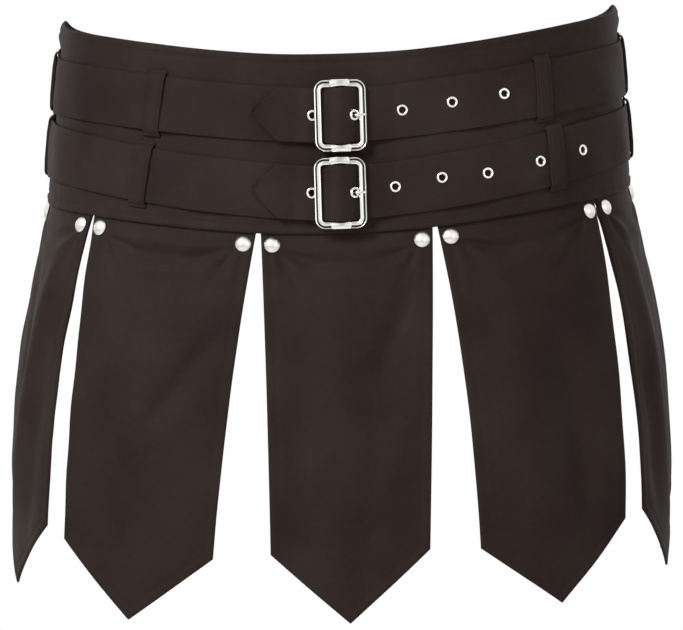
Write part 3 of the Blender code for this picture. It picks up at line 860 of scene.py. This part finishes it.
def panel_point(row, along, fall, out):
    """Points of a panel's outer face: along it from its middle, and down from the seam."""
    along, fall, out = np.broadcast_arrays(np.asarray(along, float), fall, out)
    share = np.maximum(fall, 0) / PANEL_DROP
    centre = (row["start"] + row["end"]) / 2
    flare = 1 - (1 - np.minimum(share, 1)) ** FLARE_EASE
    half_width = HIP_HALF_WIDTH + FLARE_WIDTH * flare
    half_depth = HIP_HALF_DEPTH + FLARE_DEPTH * flare
    arc = arc_at(along, half_width, half_depth, centre + row["swing"] * share**SWING_EASE)
    out = out - YOKE_WALL - GAP
    x, y = on_ring(arc, half_width, half_depth, out)
    x = x + HEM_SHIFT * flare
    seam_arc = centre + along * panel_half_width(row, 0) / panel_half_width(row, fall)
    z = top_rise(seam_arc) - YOKE_HEIGHT / 2 - fall + x * math.tan(HIP_TILT)
    hung = np.stack([x, y, z], -1)
    tucked = yoke_point(arc, YOKE_HEIGHT + np.minimum(fall, 0), out)
    return np.where((fall < 0)[..., None], tucked, hung)


# %% [markdown]
# The folds of each panel are written in millimetres from the middle of its top edge, and y is
# negative downwards: the two ends, the width and the height. Every panel has the shallow swag
# between its studs and the pulls at them. The rest are the broad soft folds of each panel.

# %% The folds of the panels
PULL_STRENGTH, FOLD_STRENGTH = 1.5, 1.3
SWAG = (
    (-42, -9, -16, -17, 3.6, -1.0),
    (-20, -17, 20, -18, 4.2, -1.1),
    (16, -17, 43, -8, 3.6, -1.0),
    (-20, -25, 20, -25, 5.0, 0.7),
)
PULLS = (
    (-41, -8, -6, -13, 2.0, 1.1),
    (-41, -10, -16, -30, 2.6, 1.0),
    (-40, -11, -24, -44, 2.6, -0.8),
    (-43, -12, -40, -44, 2.4, 0.7),
    (42, -8, 10, -11, 2.0, 1.0),
    (41, -10, 18, -27, 2.6, 0.9),
    (40, -11, 24, -44, 2.6, -0.8),
    (43, -12, 40, -42, 2.4, 0.7),
)
PANEL_PULLS = {"front_right": ((-43, -10, 4, -25, 2.6, -1.5), (42, -8, 6, -46, 4.0, -1.5))}
PANEL_FOLDS = {
    "front": (
        (-26, -50, -30, -160, 11, -2.0),
        (-6, -50, 0, -190, 14, 2.2),
        (40, -26, 16, -84, 7, -1.8),
        (30, -110, 18, -200, 10, 1.4),
        (-34, -170, 14, -215, 9, -1.4),
    ),
    "front_left": (
        (-38, -5, 30, -11, 3.4, 1.2),
        (-14, -50, 4, -150, 15, 2.4),
        (36, -62, 2, -118, 7, -2.0),
        (-34, -110, -10, -200, 10, -2.0),
        (10, -150, 34, -196, 9, 1.5),
    ),
    "front_right": (
        (-20, -50, -14, -180, 13, 2.3),
        (12, -60, 22, -190, 11, -2.0),
        (36, -110, 30, -190, 8, 1.2),
    ),
    "side_left": (
        (26, -20, -14, -190, 10, 2.4),
        (-12, -30, -32, -170, 10, -2.2),
        (30, -90, 14, -200, 9, -1.6),
    ),
    "side_right": (
        (-30, -20, 2, -190, 10, 2.2),
        (16, -30, 26, -190, 10, -2.2),
        (-34, -100, -20, -190, 8, -1.4),
    ),
    "hip_right": (
        (-20, -40, -26, -190, 11, 2.2),
        (14, -50, 4, -190, 12, -2.0),
    ),
    "back_right": (
        (20, -30, 28, -180, 12, -2.0),
        (-10, -50, -4, -190, 13, 2.2),
        (-34, -80, -26, -190, 9, -1.5),
    ),
    "back": (
        (-22, -40, -32, -190, 12, 2.1),
        (10, -40, 20, -180, 12, -1.9),
        (-2, -110, -8, -215, 9, -1.5),
    ),
    "back_left": (
        (-24, -40, -16, -180, 12, -1.9),
        (14, -50, 6, -190, 13, 2.2),
        (36, -70, 28, -190, 9, -1.4),
    ),
    "hip_left": (
        (20, -40, 30, -190, 12, 2.2),
        (-18, -50, -6, -190, 12, -2.0),
    ),
}


def panel_relief(row, number, along, fall):
    """How far the folds and the pressed edges move a panel's face out."""
    half = panel_half_width(row, fall)
    across = np.clip(np.abs(along) / half, 0, 1)
    hem = PANEL_DROP + row["longer"] - POINT_HEIGHT * across
    slope = math.cos(math.atan2(POINT_HEIGHT, PANEL_PITCH / 2))
    from_edge = np.minimum(half - np.abs(along), (hem - fall) * slope)
    edge = EDGE_ROLL * bell(from_edge, 0.0022, 0.0016) - EDGE_DENT * bell(from_edge, 0.0058, 0.0012)
    out_of_yoke = np.clip(fall / OUT_OF_YOKE, 0, 1)
    free = np.clip(fall / FREE_OF_YOKE, 0, 1)
    name, up = row["name"], -fall
    at_studs = folds(along, up, SWAG) + folds(along, up, PULLS, pull=True)
    own_pulls = folds(along, up, PANEL_PULLS.get(name, ()), pull=True)
    lift = PULL_STRENGTH * at_studs * out_of_yoke
    lift += FOLD_STRENGTH * (folds(along, up, PANEL_FOLDS[name]) + own_pulls) * free
    lift += waves(along, fall, 0.055, 0.0005, 0.9 * number + 0.4) * free
    return edge * out_of_yoke + lift


# %% Cutting and hanging the panels
PANEL_COLUMNS, PANEL_ROWS, TUCKED_ROWS = 66, 154, 6


def make_panel(number, row):
    tuck_share = 1 - TUCKED_ROWS / PANEL_ROWS

    def outline(across, up):
        across = 2 * across - 1
        length = PANEL_DROP + row["longer"] - POINT_HEIGHT * np.abs(across)
        hanging = length * (1 - up / tuck_share)
        tucked = -PANEL_TUCK * (up - tuck_share) / (1 - tuck_share)
        fall = np.where(up > tuck_share, tucked, hanging)
        return across * panel_half_width(row, fall), -fall

    name = f"cloth_panel_{row['name']}"
    piece = cut_cloth(name, PANEL_COLUMNS, PANEL_ROWS, outline, PANEL_WALL, WIDE_ROUNDING)

    def place(x, y, out):
        lift = panel_relief(row, number, x, -y)
        return panel_point(row, x, -y, out - PANEL_WALL / 2 + lift)

    lay_cloth(piece, place)
    finish_piece(piece, PANEL_CLOTH)
    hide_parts(f"panel_{row['name']}")
    return piece


for number, row in enumerate(PANELS):
    made = make_panel(number, row)
print("panels hung:", len(PANELS), "of", len(made.data.polygons), "faces")

# %% [markdown]
# ## The belt loops
#
# A loop is a narrow tube of cloth, pressed flat, that bridges a belt. Its ends are turned under
# and held to the yoke by a bar tack, a dense bar of short stitches across the loop.

# %% Loops
LOOP_WIDTH, LOOP_WALL, LOOP_RISE = 0.0102, 0.001, 0.0012
LOOP_OVERHANG, HIP_LOOP_OVERHANG = 0.0035, 0.0026
LOOP_COLUMNS, LOOP_ROWS = 20, 56
LOOP_FULL, LOOP_CROWN, LOOP_CREASE, LOOP_SPREAD = 1.25, 0.00025, 0.0004, 0.13
SIDE_LOOP_ARC, LOOP_HEM = 0.255, 0.003
PLAIN_LOOPS = (("hip_left", -SIDE_LOOP_ARC), ("hip_right", SIDE_LOOP_ARC), ("back", HALF_ROUND))


def loops_of(belt):
    """Name, arc, lean of the foot and overhang past the belt's edge of each loop."""
    rows = [(*row, LOOP_OVERHANG) for row in belt["loops"]]
    return rows + [(name, arc, 0.0, HIP_LOOP_OVERHANG) for name, arc in PLAIN_LOOPS]


def loop_shape(overhang):
    """Height from the belt's middle and distance out of the loop's outer face."""
    reach = BELT_WIDTH / 2 + overhang
    foot = GAP + LOOP_WALL
    over = layer(0) + BELT_WALL / 2 + GAP + LOOP_WALL
    half = (
        (0.0, over + LOOP_RISE),
        (BELT_WIDTH / 4, over + LOOP_RISE),
        (BELT_WIDTH / 2 - 0.001, over + 0.6 * LOOP_RISE),
        (BELT_WIDTH / 2 + 0.0009, over),
        (reach - 0.0012, foot + 0.0001),
        (reach, foot),
    )
    return np.array([(-h, o) for h, o in reversed(half[1:])] + list(half))


def loop_place(belt, arc, lean, overhang):
    shape = loop_shape(overhang)
    reach = BELT_WIDTH / 2 + overhang

    def place(x, y, out):
        far = np.interp(y, shape[:, 0], shape[:, 1])
        a = arc + x - lean * y / reach / 2
        return yoke_point(a, belt_drop(belt, a) - y, far + out)

    return place


def make_loop(label, belt, name, arc, lean, overhang):
    reach = BELT_WIDTH / 2 + overhang

    def outline(across, up):
        return LOOP_WIDTH * (across - 0.5), 2 * reach * (up - 0.5)

    full_name = f"cloth_loop_{label}_{name}"
    piece = cut_cloth(full_name, LOOP_COLUMNS, LOOP_ROWS, outline, LOOP_WALL, LOOP_ROUNDING)
    base = loop_place(belt, arc, lean, overhang)

    def place(x, y, out):
        edge = np.abs(x) / (LOOP_WIDTH / 2)
        crown = LOOP_CROWN * (1 - edge**2) - LOOP_CREASE * bell(edge, 0.74, 0.1)
        over_belt = np.clip((BELT_WIDTH / 2 - np.abs(y)) / 0.004, 0, 1)
        depth = (out - LOOP_WALL / 2) * (1 + LOOP_FULL * over_belt)
        spread = 1 + LOOP_SPREAD * bell(np.abs(y), reach, 0.0028)
        return base(x * spread, y, depth + crown)

    lay_cloth(piece, place)
    finish_piece(piece, BELT_CLOTH)
    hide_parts(f"loop_{label}_{name}")
    return piece


for label, belt in BELTS.items():
    for name, arc, lean, overhang in loops_of(belt):
        made = make_loop(label, belt, name, arc, lean, overhang)
print("loops: 10 of", len(made.data.polygons), "faces")


# %% [markdown]
# ## Stitches
#
# One stitch is a short rounded bar of thread. It is modelled once, from a small cylinder with
# bevelled ends, and then repeated along each line of sewing. Every copy keeps only its place, its
# direction and the way out of the cloth.

# %% One stitch, repeated
def one_stitch():
    bpy.ops.mesh.primitive_cylinder_add(
        vertices=6, radius=0.5, depth=1, rotation=(0, math.pi / 2, 0), end_fill_type="NGON"
    )
    pattern = bpy.context.object
    bpy.ops.object.transform_apply(location=False, rotation=True, scale=False)
    round_edges(pattern, 0.2, 1, 70)
    points = points_of(pattern.data)
    faces = [tuple(face.vertices) for face in pattern.data.polygons]
    bpy.data.objects.remove(pattern)
    return points, faces


STITCH_POINTS, STITCH_FACES = one_stitch()


def sew(name, rows):
    """rows: middle, direction and normal of each stitch, its length and its width."""
    points, faces = [], []
    for middle, along, normal, length, width in rows:
        along = along / np.linalg.norm(along)
        side = np.cross(normal, along)
        side /= np.linalg.norm(side)
        up = np.cross(along, side)
        size = STITCH_POINTS * (length, width, 0.8 * width)
        first = len(points) * len(STITCH_POINTS)
        points.append(middle + size[:, :1] * along + size[:, 1:2] * side + size[:, 2:] * up)
        faces += [tuple(first + i for i in face) for face in STITCH_FACES]
    points = np.concatenate(points)
    mesh = bpy.data.meshes.new(name)
    mesh.from_pydata(points.tolist(), [], faces)
    map_cloth(mesh, points[:, [0, 2]])
    piece = put_in_scene(name, mesh)
    smooth(piece, 60)
    finish_piece(piece, THREAD)
    return piece


def stitch_row(place, starts, step):
    """Directions along a line of sewing; place takes arrays of arcs and distances out."""
    here, ahead, raised = place(starts, 0.0), place(starts + step, 0.0), place(starts, 0.001)
    return (here + ahead) / 2, ahead - here, raised - here


STITCH_PITCH, STITCH_LENGTH = 0.0030, 0.0024
THREAD_WIDTH, THREAD_LIFT = 0.0004, 0.00006


def hem_rows(drop):
    count = int(2 * HALF_ROUND / STITCH_PITCH)
    starts = -HALF_ROUND + np.arange(count) * 2 * HALF_ROUND / count

    def place(arc, out):
        return yoke_point(arc, drop, yoke_relief(arc, drop + 0 * arc) + THREAD_LIFT + out)

    middles, alongs, normals = stitch_row(place, starts, STITCH_PITCH)
    return [(m, a, n, STITCH_LENGTH, THREAD_WIDTH) for m, a, n in zip(middles, alongs, normals)]


hem_stitches = hem_rows(TOP_HEM) + hem_rows(YOKE_HEIGHT - LOW_HEM)
hems = sew("thread_yoke_hems", hem_stitches)
print("stitches in the hems:", len(hems.data.polygons) // len(STITCH_FACES))


# %% Bar tacks
TACK_INSET, TACK_STITCHES = 0.0011, 16
TACK_LENGTH, TACK_WIDTH = 0.0015, 0.00055


def tack_rows(belt, arc, lean, overhang):
    """A dense bar of upright stitches across each end of a loop."""
    base = loop_place(belt, arc, lean, overhang)

    def place(x, y, out):
        return base(np.array([x]), np.array([y]), out)[0]

    rows = []
    for end in (-1, 1):
        height = end * (BELT_WIDTH / 2 + overhang - TACK_INSET)
        for x in np.linspace(-0.42, 0.42, TACK_STITCHES) * LOOP_WIDTH:
            low, high = (place(x, height + step, 0.0) for step in (-0.0006, 0.0006))
            middle = place(x, height, 0.0001)
            normal = place(x, height, 0.001) - middle
            rows.append((middle, high - low, normal, TACK_LENGTH, TACK_WIDTH))
    return rows


tacks = []
for belt in BELTS.values():
    for _, arc, lean, overhang in loops_of(belt):
        tacks += tack_rows(belt, arc, lean, overhang)
sew("thread_bar_tacks", tacks)
print("stitches in the bar tacks:", len(tacks))


# %% [markdown]
# ## Buckles
#
# The rim is drawn the way a wire former bends it: a flat rectangle gets rounded corners, its face
# is removed, and the loop of edges becomes a curve. A small profile with a groove is swept along
# that curve, which gives the two bright rails. The dark line between them is painted shade, a dark
# material on the groove's faces. The sleeves are rolled tubes with a bead at each end, and the bar
# is a rod between them.

# %% Placing metal on the cloth
def frame_at(place, step=0.002):
    """A matrix whose Z leaves the cloth and whose Y runs up it."""
    along = Vector(place(step, 0, 0)) - Vector(place(-step, 0, 0))
    up = Vector(place(0, step, 0)) - Vector(place(0, -step, 0))
    out = along.cross(up).normalized()
    along.normalize()
    up = out.cross(along)
    made = Matrix((along, up, out)).transposed().to_4x4()
    made.translation = Vector(place(0, 0, 0))
    return made


def joined(parts):
    bpy.ops.object.select_all(action="DESELECT")
    for part in parts:
        part.select_set(True)
    bpy.context.view_layer.objects.active = parts[0]
    bpy.ops.object.join()
    return bpy.context.object


def metal_piece(name, parts, coating):
    piece = joined(parts)
    bpy.ops.object.transform_apply(location=True, rotation=True, scale=True)
    piece.name = piece.data.name = name
    smooth(piece, 40)
    finish_piece(piece, coating)
    return piece


# %% The rim's profile and sweep
def rim_profile():
    half, deep = RIM_WIDTH / 2, RIM_DEPTH / 2
    rows = (
        (-half, -0.3 * deep),
        (-0.97 * half, 0.35 * deep),
        (-0.82 * half, 0.85 * deep),
        (-0.52 * half, 1.08 * deep),
        (-0.20 * half, 1.02 * deep),
        (0.06 * half, 0.60 * deep),
        (0.14 * half, -0.35 * deep),
        (0.30 * half, -0.45 * deep),
        (0.38 * half, 0.10 * deep),
        (0.56 * half, 0.62 * deep),
        (0.74 * half, 0.70 * deep),
        (0.93 * half, 0.35 * deep),
        (half, -0.2 * deep),
        (0.75 * half, -deep),
        (-0.75 * half, -deep),
    )
    curve = bpy.data.curves.new("Rim profile", "CURVE")
    curve.dimensions = "2D"
    line = curve.splines.new("POLY")
    line.points.add(len(rows) - 1)
    for point, (x, y) in zip(line.points, rows):
        point.co = (x, y, 0, 1)
    line.use_cyclic_u = True
    return put_in_scene("Rim profile", curve)


def make_rim(profile):
    """A rounded rectangle turned into a curve, with the profile swept along it."""
    bpy.ops.mesh.primitive_plane_add(size=1)
    rim = bpy.context.object
    rim.scale = (BUCKLE_WIDTH - RIM_WIDTH, BUCKLE_HEIGHT - RIM_WIDTH, 1)
    bpy.ops.object.transform_apply(location=False, rotation=False, scale=True)
    bpy.ops.object.mode_set(mode="EDIT")
    bpy.ops.mesh.select_all(action="SELECT")
    corner = CORNER_RADIUS - RIM_WIDTH / 2
    bpy.ops.mesh.bevel(offset_type="OFFSET", offset=corner, segments=10, affect="VERTICES")
    bpy.ops.mesh.select_all(action="SELECT")
    bpy.ops.mesh.delete(type="ONLY_FACE")
    bpy.ops.object.mode_set(mode="OBJECT")
    bpy.ops.object.convert(target="CURVE")
    rim = bpy.context.object
    rim.data.bevel_mode = "OBJECT"
    rim.data.bevel_object = profile
    bpy.ops.object.convert(target="MESH")
    return bpy.context.object


def make_rod(radius, length, location, upright):
    """A round rod or sleeve with softly rounded ends."""
    turn = (math.pi / 2, 0, 0) if upright else (0, math.pi / 2, 0)
    bpy.ops.mesh.primitive_cylinder_add(
        vertices=32, radius=radius, depth=length, location=location, rotation=turn
    )
    rod = bpy.context.object
    bpy.ops.object.transform_apply(location=True, rotation=True, scale=True)
    round_edges(rod, 0.22 * radius, 3, 60)
    return rod


RIM_PROFILE = rim_profile()


# %% Buckles and prongs
def buckle_frame(belt):
    def place(along, up, out):
        arc = BUCKLE_ARC + along
        return yoke_point(arc, belt_drop(belt, arc) - up, RIM_OUT + out)

    return frame_at(place, 0.01)


def groove_faces(rim):
    """The faces in the rim's groove, which get the painted shade: the sweep repeats the profile's
    points in order.
    """
    points = len(RIM_PROFILE.data.splines[0].points)
    groove = ({5, 6}, {6, 7}, {7, 8})
    faces = rim.data.polygons
    return [face.index for face in faces if {v % points for v in face.vertices} in groove]


def make_buckle(label, belt):
    edge = (BUCKLE_HEIGHT - RIM_WIDTH) / 2
    parts = [make_rim(RIM_PROFILE)]
    for end in (edge, -edge):
        parts.append(make_rod(SLEEVE_RADIUS, SLEEVE_LENGTH, (0, end, 0), False))
        for side in (-1, 1):
            at = side * (SLEEVE_LENGTH / 2 - BEAD_INSET)
            parts.append(make_rod(BEAD_RADIUS, BEAD_WIDTH, (at, end, 0), False))
    parts.append(make_rod(BAR_RADIUS, 2 * edge, (0, 0, BAR_OUT - RIM_OUT), True))
    seat = buckle_frame(belt)
    for part in parts:
        part.data.transform(seat)
    grooved = groove_faces(parts[0])
    piece = metal_piece(f"metal_buckle_{label}", parts, BUCKLE_METAL)
    # The groove's faces get the dark metal: painted shade in the recess.
    piece.data.materials.append(GROOVE_PAINTED_SHADE)
    for index in grooved:
        piece.data.polygons[index].material_index = 1
    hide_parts(f"buckle_{label}")
    return piece


def make_prong(label, belt):
    """The prong comes up through the strap's second eyelet and rests on the rim."""
    rim_top = RIM_OUT + RIM_DEPTH / 2
    rest = rim_top + GAP + PRONG_RADIUS
    start = BUCKLE_ARC + WRAP_RADIUS + BELT_WALL / 2 + GAP + PRONG_RADIUS
    arc = belt["eyelets"][1][0]
    rim_edge = BUCKLE_ARC + BUCKLE_WIDTH / 2
    stations = (
        (start, BAR_OUT),
        (arc - 0.0026, BAR_OUT - 0.0016),
        (arc - 0.0009, BAR_OUT - 0.0015),
        (arc - 0.0003, BAR_OUT - 0.0006),
        (arc + 0.0007, rim_top - 0.0008),
        (arc + 0.0017, rest - 0.0002),
        (rim_edge - RIM_WIDTH + 0.001, rest),
        (rim_edge - 0.0009, rest - 0.0001),
        (rim_edge - 0.0004, rest - 0.0003),
    )
    curve = bpy.data.curves.new(f"metal_prong_{label}", "CURVE")
    curve.dimensions = "3D"
    curve.bevel_depth = PRONG_RADIUS
    curve.bevel_resolution = 5
    curve.use_fill_caps = True
    line = curve.splines.new("NURBS")
    line.points.add(len(stations) - 1)
    for point, (a, out) in zip(line.points, stations):
        point.co = (*yoke_point(a, belt_drop(belt, arc), out), 1)
    line.points[-1].radius = 0.55
    line.order_u = 3
    line.use_endpoint_u = True
    line.resolution_u = 6
    only(put_in_scene(curve.name, curve))
    bpy.ops.object.convert(target="MESH")
    piece = metal_piece(f"metal_prong_{label}", [bpy.context.object], BUCKLE_METAL)
    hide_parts(f"prong_{label}")


for label, belt in BELTS.items():
    made = make_buckle(label, belt)
    make_prong(label, belt)
    dark = sum(face.material_index for face in made.data.polygons)
    print(made.name, len(made.data.polygons), "faces,", dark, "of them in the groove")
bpy.data.objects.remove(RIM_PROFILE)

# %% [markdown]
# ## Eyelets and studs
#
# An eyelet is a rolled ring with a short barrel through the cloth. It starts as a torus, flattened
# to the ring's height, and the barrel is joined to it. A stud is a low dome: the cap of a sphere,
# flattened, on a thin flange. Both are modelled once, and each copy is moved to its own place.

# %% Strap places and panel places
def strap_out(arc):
    known, outs = zip(*STRAP_STATIONS)
    return np.interp(arc - BUCKLE_ARC, known, outs)


def eyelet_frame(belt, spot):
    arc, up = spot

    def place(along, rise, out):
        a = arc + along
        return yoke_point(a, belt_drop(belt, a) - up - rise, strap_out(a) + out)

    return frame_at(place)


def stud_frame(row, side):
    half = float(panel_half_width(row, STUD_DROP))
    spot = side * (half - STUD_INSET + SLIT_AT_SEAM / 2)

    def place(along, up, out):
        return panel_point(row, np.array([spot + along]), STUD_DROP - up, out + GAP)[0]

    return frame_at(place)


# %% The patterns and their copies
EYELET_RISE, BARREL_WALL = 0.0010, 0.0003
FLANGE_WALL, FLANGE_RISE = 0.0004, 0.0003


def eyelet_pattern():
    roll = (EYELET_RADIUS - EYELET_HOLE) / 2
    bpy.ops.mesh.primitive_torus_add(
        major_radius=EYELET_HOLE + roll, minor_radius=roll, major_segments=40, minor_segments=14
    )
    lip = bpy.context.object
    lip.scale = (1, 1, EYELET_RISE / roll)
    lip.location = (0, 0, BELT_WALL / 2 + GAP)
    bpy.ops.object.transform_apply(location=True, rotation=True, scale=True)
    bpy.ops.mesh.primitive_cylinder_add(
        vertices=40, radius=EYELET_HOLE + BARREL_WALL, depth=BELT_WALL, end_fill_type="NOTHING"
    )
    barrel = bpy.context.object
    wall = barrel.modifiers.new("Wall", "SOLIDIFY")
    wall.thickness = BARREL_WALL
    wall.offset = -1
    apply_all(barrel)
    return joined([lip, barrel])


def stud_pattern():
    bpy.ops.mesh.primitive_uv_sphere_add(segments=36, ring_count=36, radius=1)
    dome = bpy.context.object
    bpy.ops.object.mode_set(mode="EDIT")
    bpy.ops.mesh.select_all(action="SELECT")
    bpy.ops.mesh.bisect(plane_co=(0, 0, 0.7), plane_no=(0, 0, -1), clear_outer=True, use_fill=True)
    bpy.ops.object.mode_set(mode="OBJECT")
    points = points_of(dome.data)
    reach = np.hypot(points[:, 0], points[:, 1]).max()
    low, high = points[:, 2].min(), points[:, 2].max()
    points[:, :2] *= 1.02 * STUD_RADIUS / reach
    points[:, 2] = FLANGE_RISE + (points[:, 2] - low) / (high - low) * (STUD_HEIGHT - FLANGE_RISE)
    move_points(dome.data, points)
    flange = make_rod(0.97 * STUD_RADIUS, FLANGE_WALL, (0, 0, 0), True)
    flange.data.transform(Matrix.Rotation(math.pi / 2, 4, "X"))
    flange.data.transform(Matrix.Translation((0, 0, FLANGE_WALL / 2)))
    return joined([dome, flange])


def copies(name, pattern, frames, coating):
    parts = []
    for seat in frames:
        parts.append(put_in_scene(name, pattern.data.copy()))
        parts[-1].data.transform(seat)
    bpy.data.objects.remove(pattern)
    return metal_piece(name, parts, coating)


for label, belt in BELTS.items():
    seats = [eyelet_frame(belt, spot) for spot in belt["eyelets"]]
    rings = copies(f"metal_eyelets_{label}", eyelet_pattern(), seats, BUCKLE_METAL)
    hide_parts(*(f"eyelet_{label}_{i + 1}" for i in range(len(seats))))
seats = [stud_frame(row, side) for row in PANELS for side in (-1, 1)]
studs = copies("metal_studs", stud_pattern(), seats, STUD_METAL)
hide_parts(*(f"stud_{row['name']}_{end}" for row in PANELS for end in "ab"))
print("studs:", len(seats), "of", len(studs.data.polygons) // len(seats), "faces")

# %% [markdown]
# ## The studio
#
# The kilt floats at hip height over a plain pale floor, in an even white room. A broad soft light
# high on the left gives the folds their shape, and a weaker one on the right keeps the shadows
# open. The camera stands 5 m away at the height of the waist and looks down a little.

# %% Floor, light and camera
FLOOR_RADIUS, FLOOR_HEIGHT = 7.0, -0.86
bpy.ops.mesh.primitive_circle_add(
    vertices=96, radius=FLOOR_RADIUS, fill_type="NGON", location=(0, 0, FLOOR_HEIGHT)
)
floor = bpy.context.object
floor.name = "studio_floor"
pale, tree, shader = shader_of("Pale floor")
floor_look = {"Base Color": (0.9, 0.9, 0.89, 1), "Roughness": 0.8}
floor_look |= {"Emission Color": (1, 1, 1, 1), "Emission Strength": 0.3}
fill(tree, shader.inputs, floor_look)
floor.data.materials.append(pale)


def soft_light(name, place, target, size, watts):
    lamp = bpy.data.lights.new(name, "AREA")
    lamp.shape = "SQUARE"
    lamp.size = size
    lamp.energy = watts
    held = put_in_scene(name, lamp)
    held.location = place
    held.rotation_euler = (Vector(target) - Vector(place)).to_track_quat("-Z", "Y").to_euler()


soft_light("key_light", (-0.80, -1.28, 0.85), (0, -0.1, -0.05), 0.6, 25)
soft_light("fill_light", (1.5, -2.05, 0.4), (0, 0, -0.08), 1.2, 6)

# The room is white, but it lights the cloth less than the lamps do, and metal sees a darker gap
# between the two lamps behind the camera.
ROOM_ON_CLOTH = 0.3
DARK_GAP, DARK_GAP_WIDTH = 0.45, 0.10
room = bpy.data.worlds.new("White room")
room.use_nodes = True
tree = room.node_tree
rays = add_node(tree, "LightPath", {}).outputs
direction = add_node(tree, "TexCoord", {}).outputs["Generated"]
split = add_node(tree, "SeparateXYZ", {0: direction})
sideways = calc(tree, "DIVIDE", split.outputs["X"], DARK_GAP_WIDTH)
squared = calc(tree, "POWER", sideways, 2.0)
dark = calc(tree, "EXPONENT", calc(tree, "MULTIPLY", squared, -1.0))
behind = calc(tree, "LESS_THAN", split.outputs["Y"], 0.0)
gap = calc(tree, "MULTIPLY", calc(tree, "MULTIPLY", dark, behind), rays["Is Glossy Ray"])
shade = calc(tree, "MULTIPLY_ADD", gap, -DARK_GAP, 1.0)
dim = calc(tree, "MULTIPLY", rays["Is Diffuse Ray"], 1 - ROOM_ON_CLOTH)
backdrop = {"Color": (1, 1, 1, 1), "Strength": calc(tree, "SUBTRACT", shade, dim)}
fill(tree, tree.nodes["Background"].inputs, backdrop)
bpy.context.scene.world = room
bpy.context.scene.view_settings.view_transform = "Standard"

CAMERA_PLACE = (0.0015, -5.0, 0.0522)
SENSOR_WIDTH = 36.0
PHOTO_WIDTH = 683
MM_PER_PIXEL = 0.58
FRONT_PLANE = 0.135
CAMERA_DIP = math.radians(1.786)
lens_pixels = (-CAMERA_PLACE[1] - FRONT_PLANE) * 1000 / MM_PER_PIXEL
view = bpy.data.cameras.new("Camera")
view.sensor_width = SENSOR_WIDTH
view.lens = lens_pixels * SENSOR_WIDTH / PHOTO_WIDTH
view.clip_start = 0.1
view.clip_end = 50
camera = put_in_scene("Camera", view)
camera.location = CAMERA_PLACE
camera.rotation_euler = (math.pi / 2 - CAMERA_DIP, 0, 0)
bpy.context.scene.camera = camera
print("lens:", round(view.lens, 1), "mm")

# %% [markdown]
# Last, every object is deselected.

# %% Finish
bpy.ops.object.select_all(action="DESELECT")
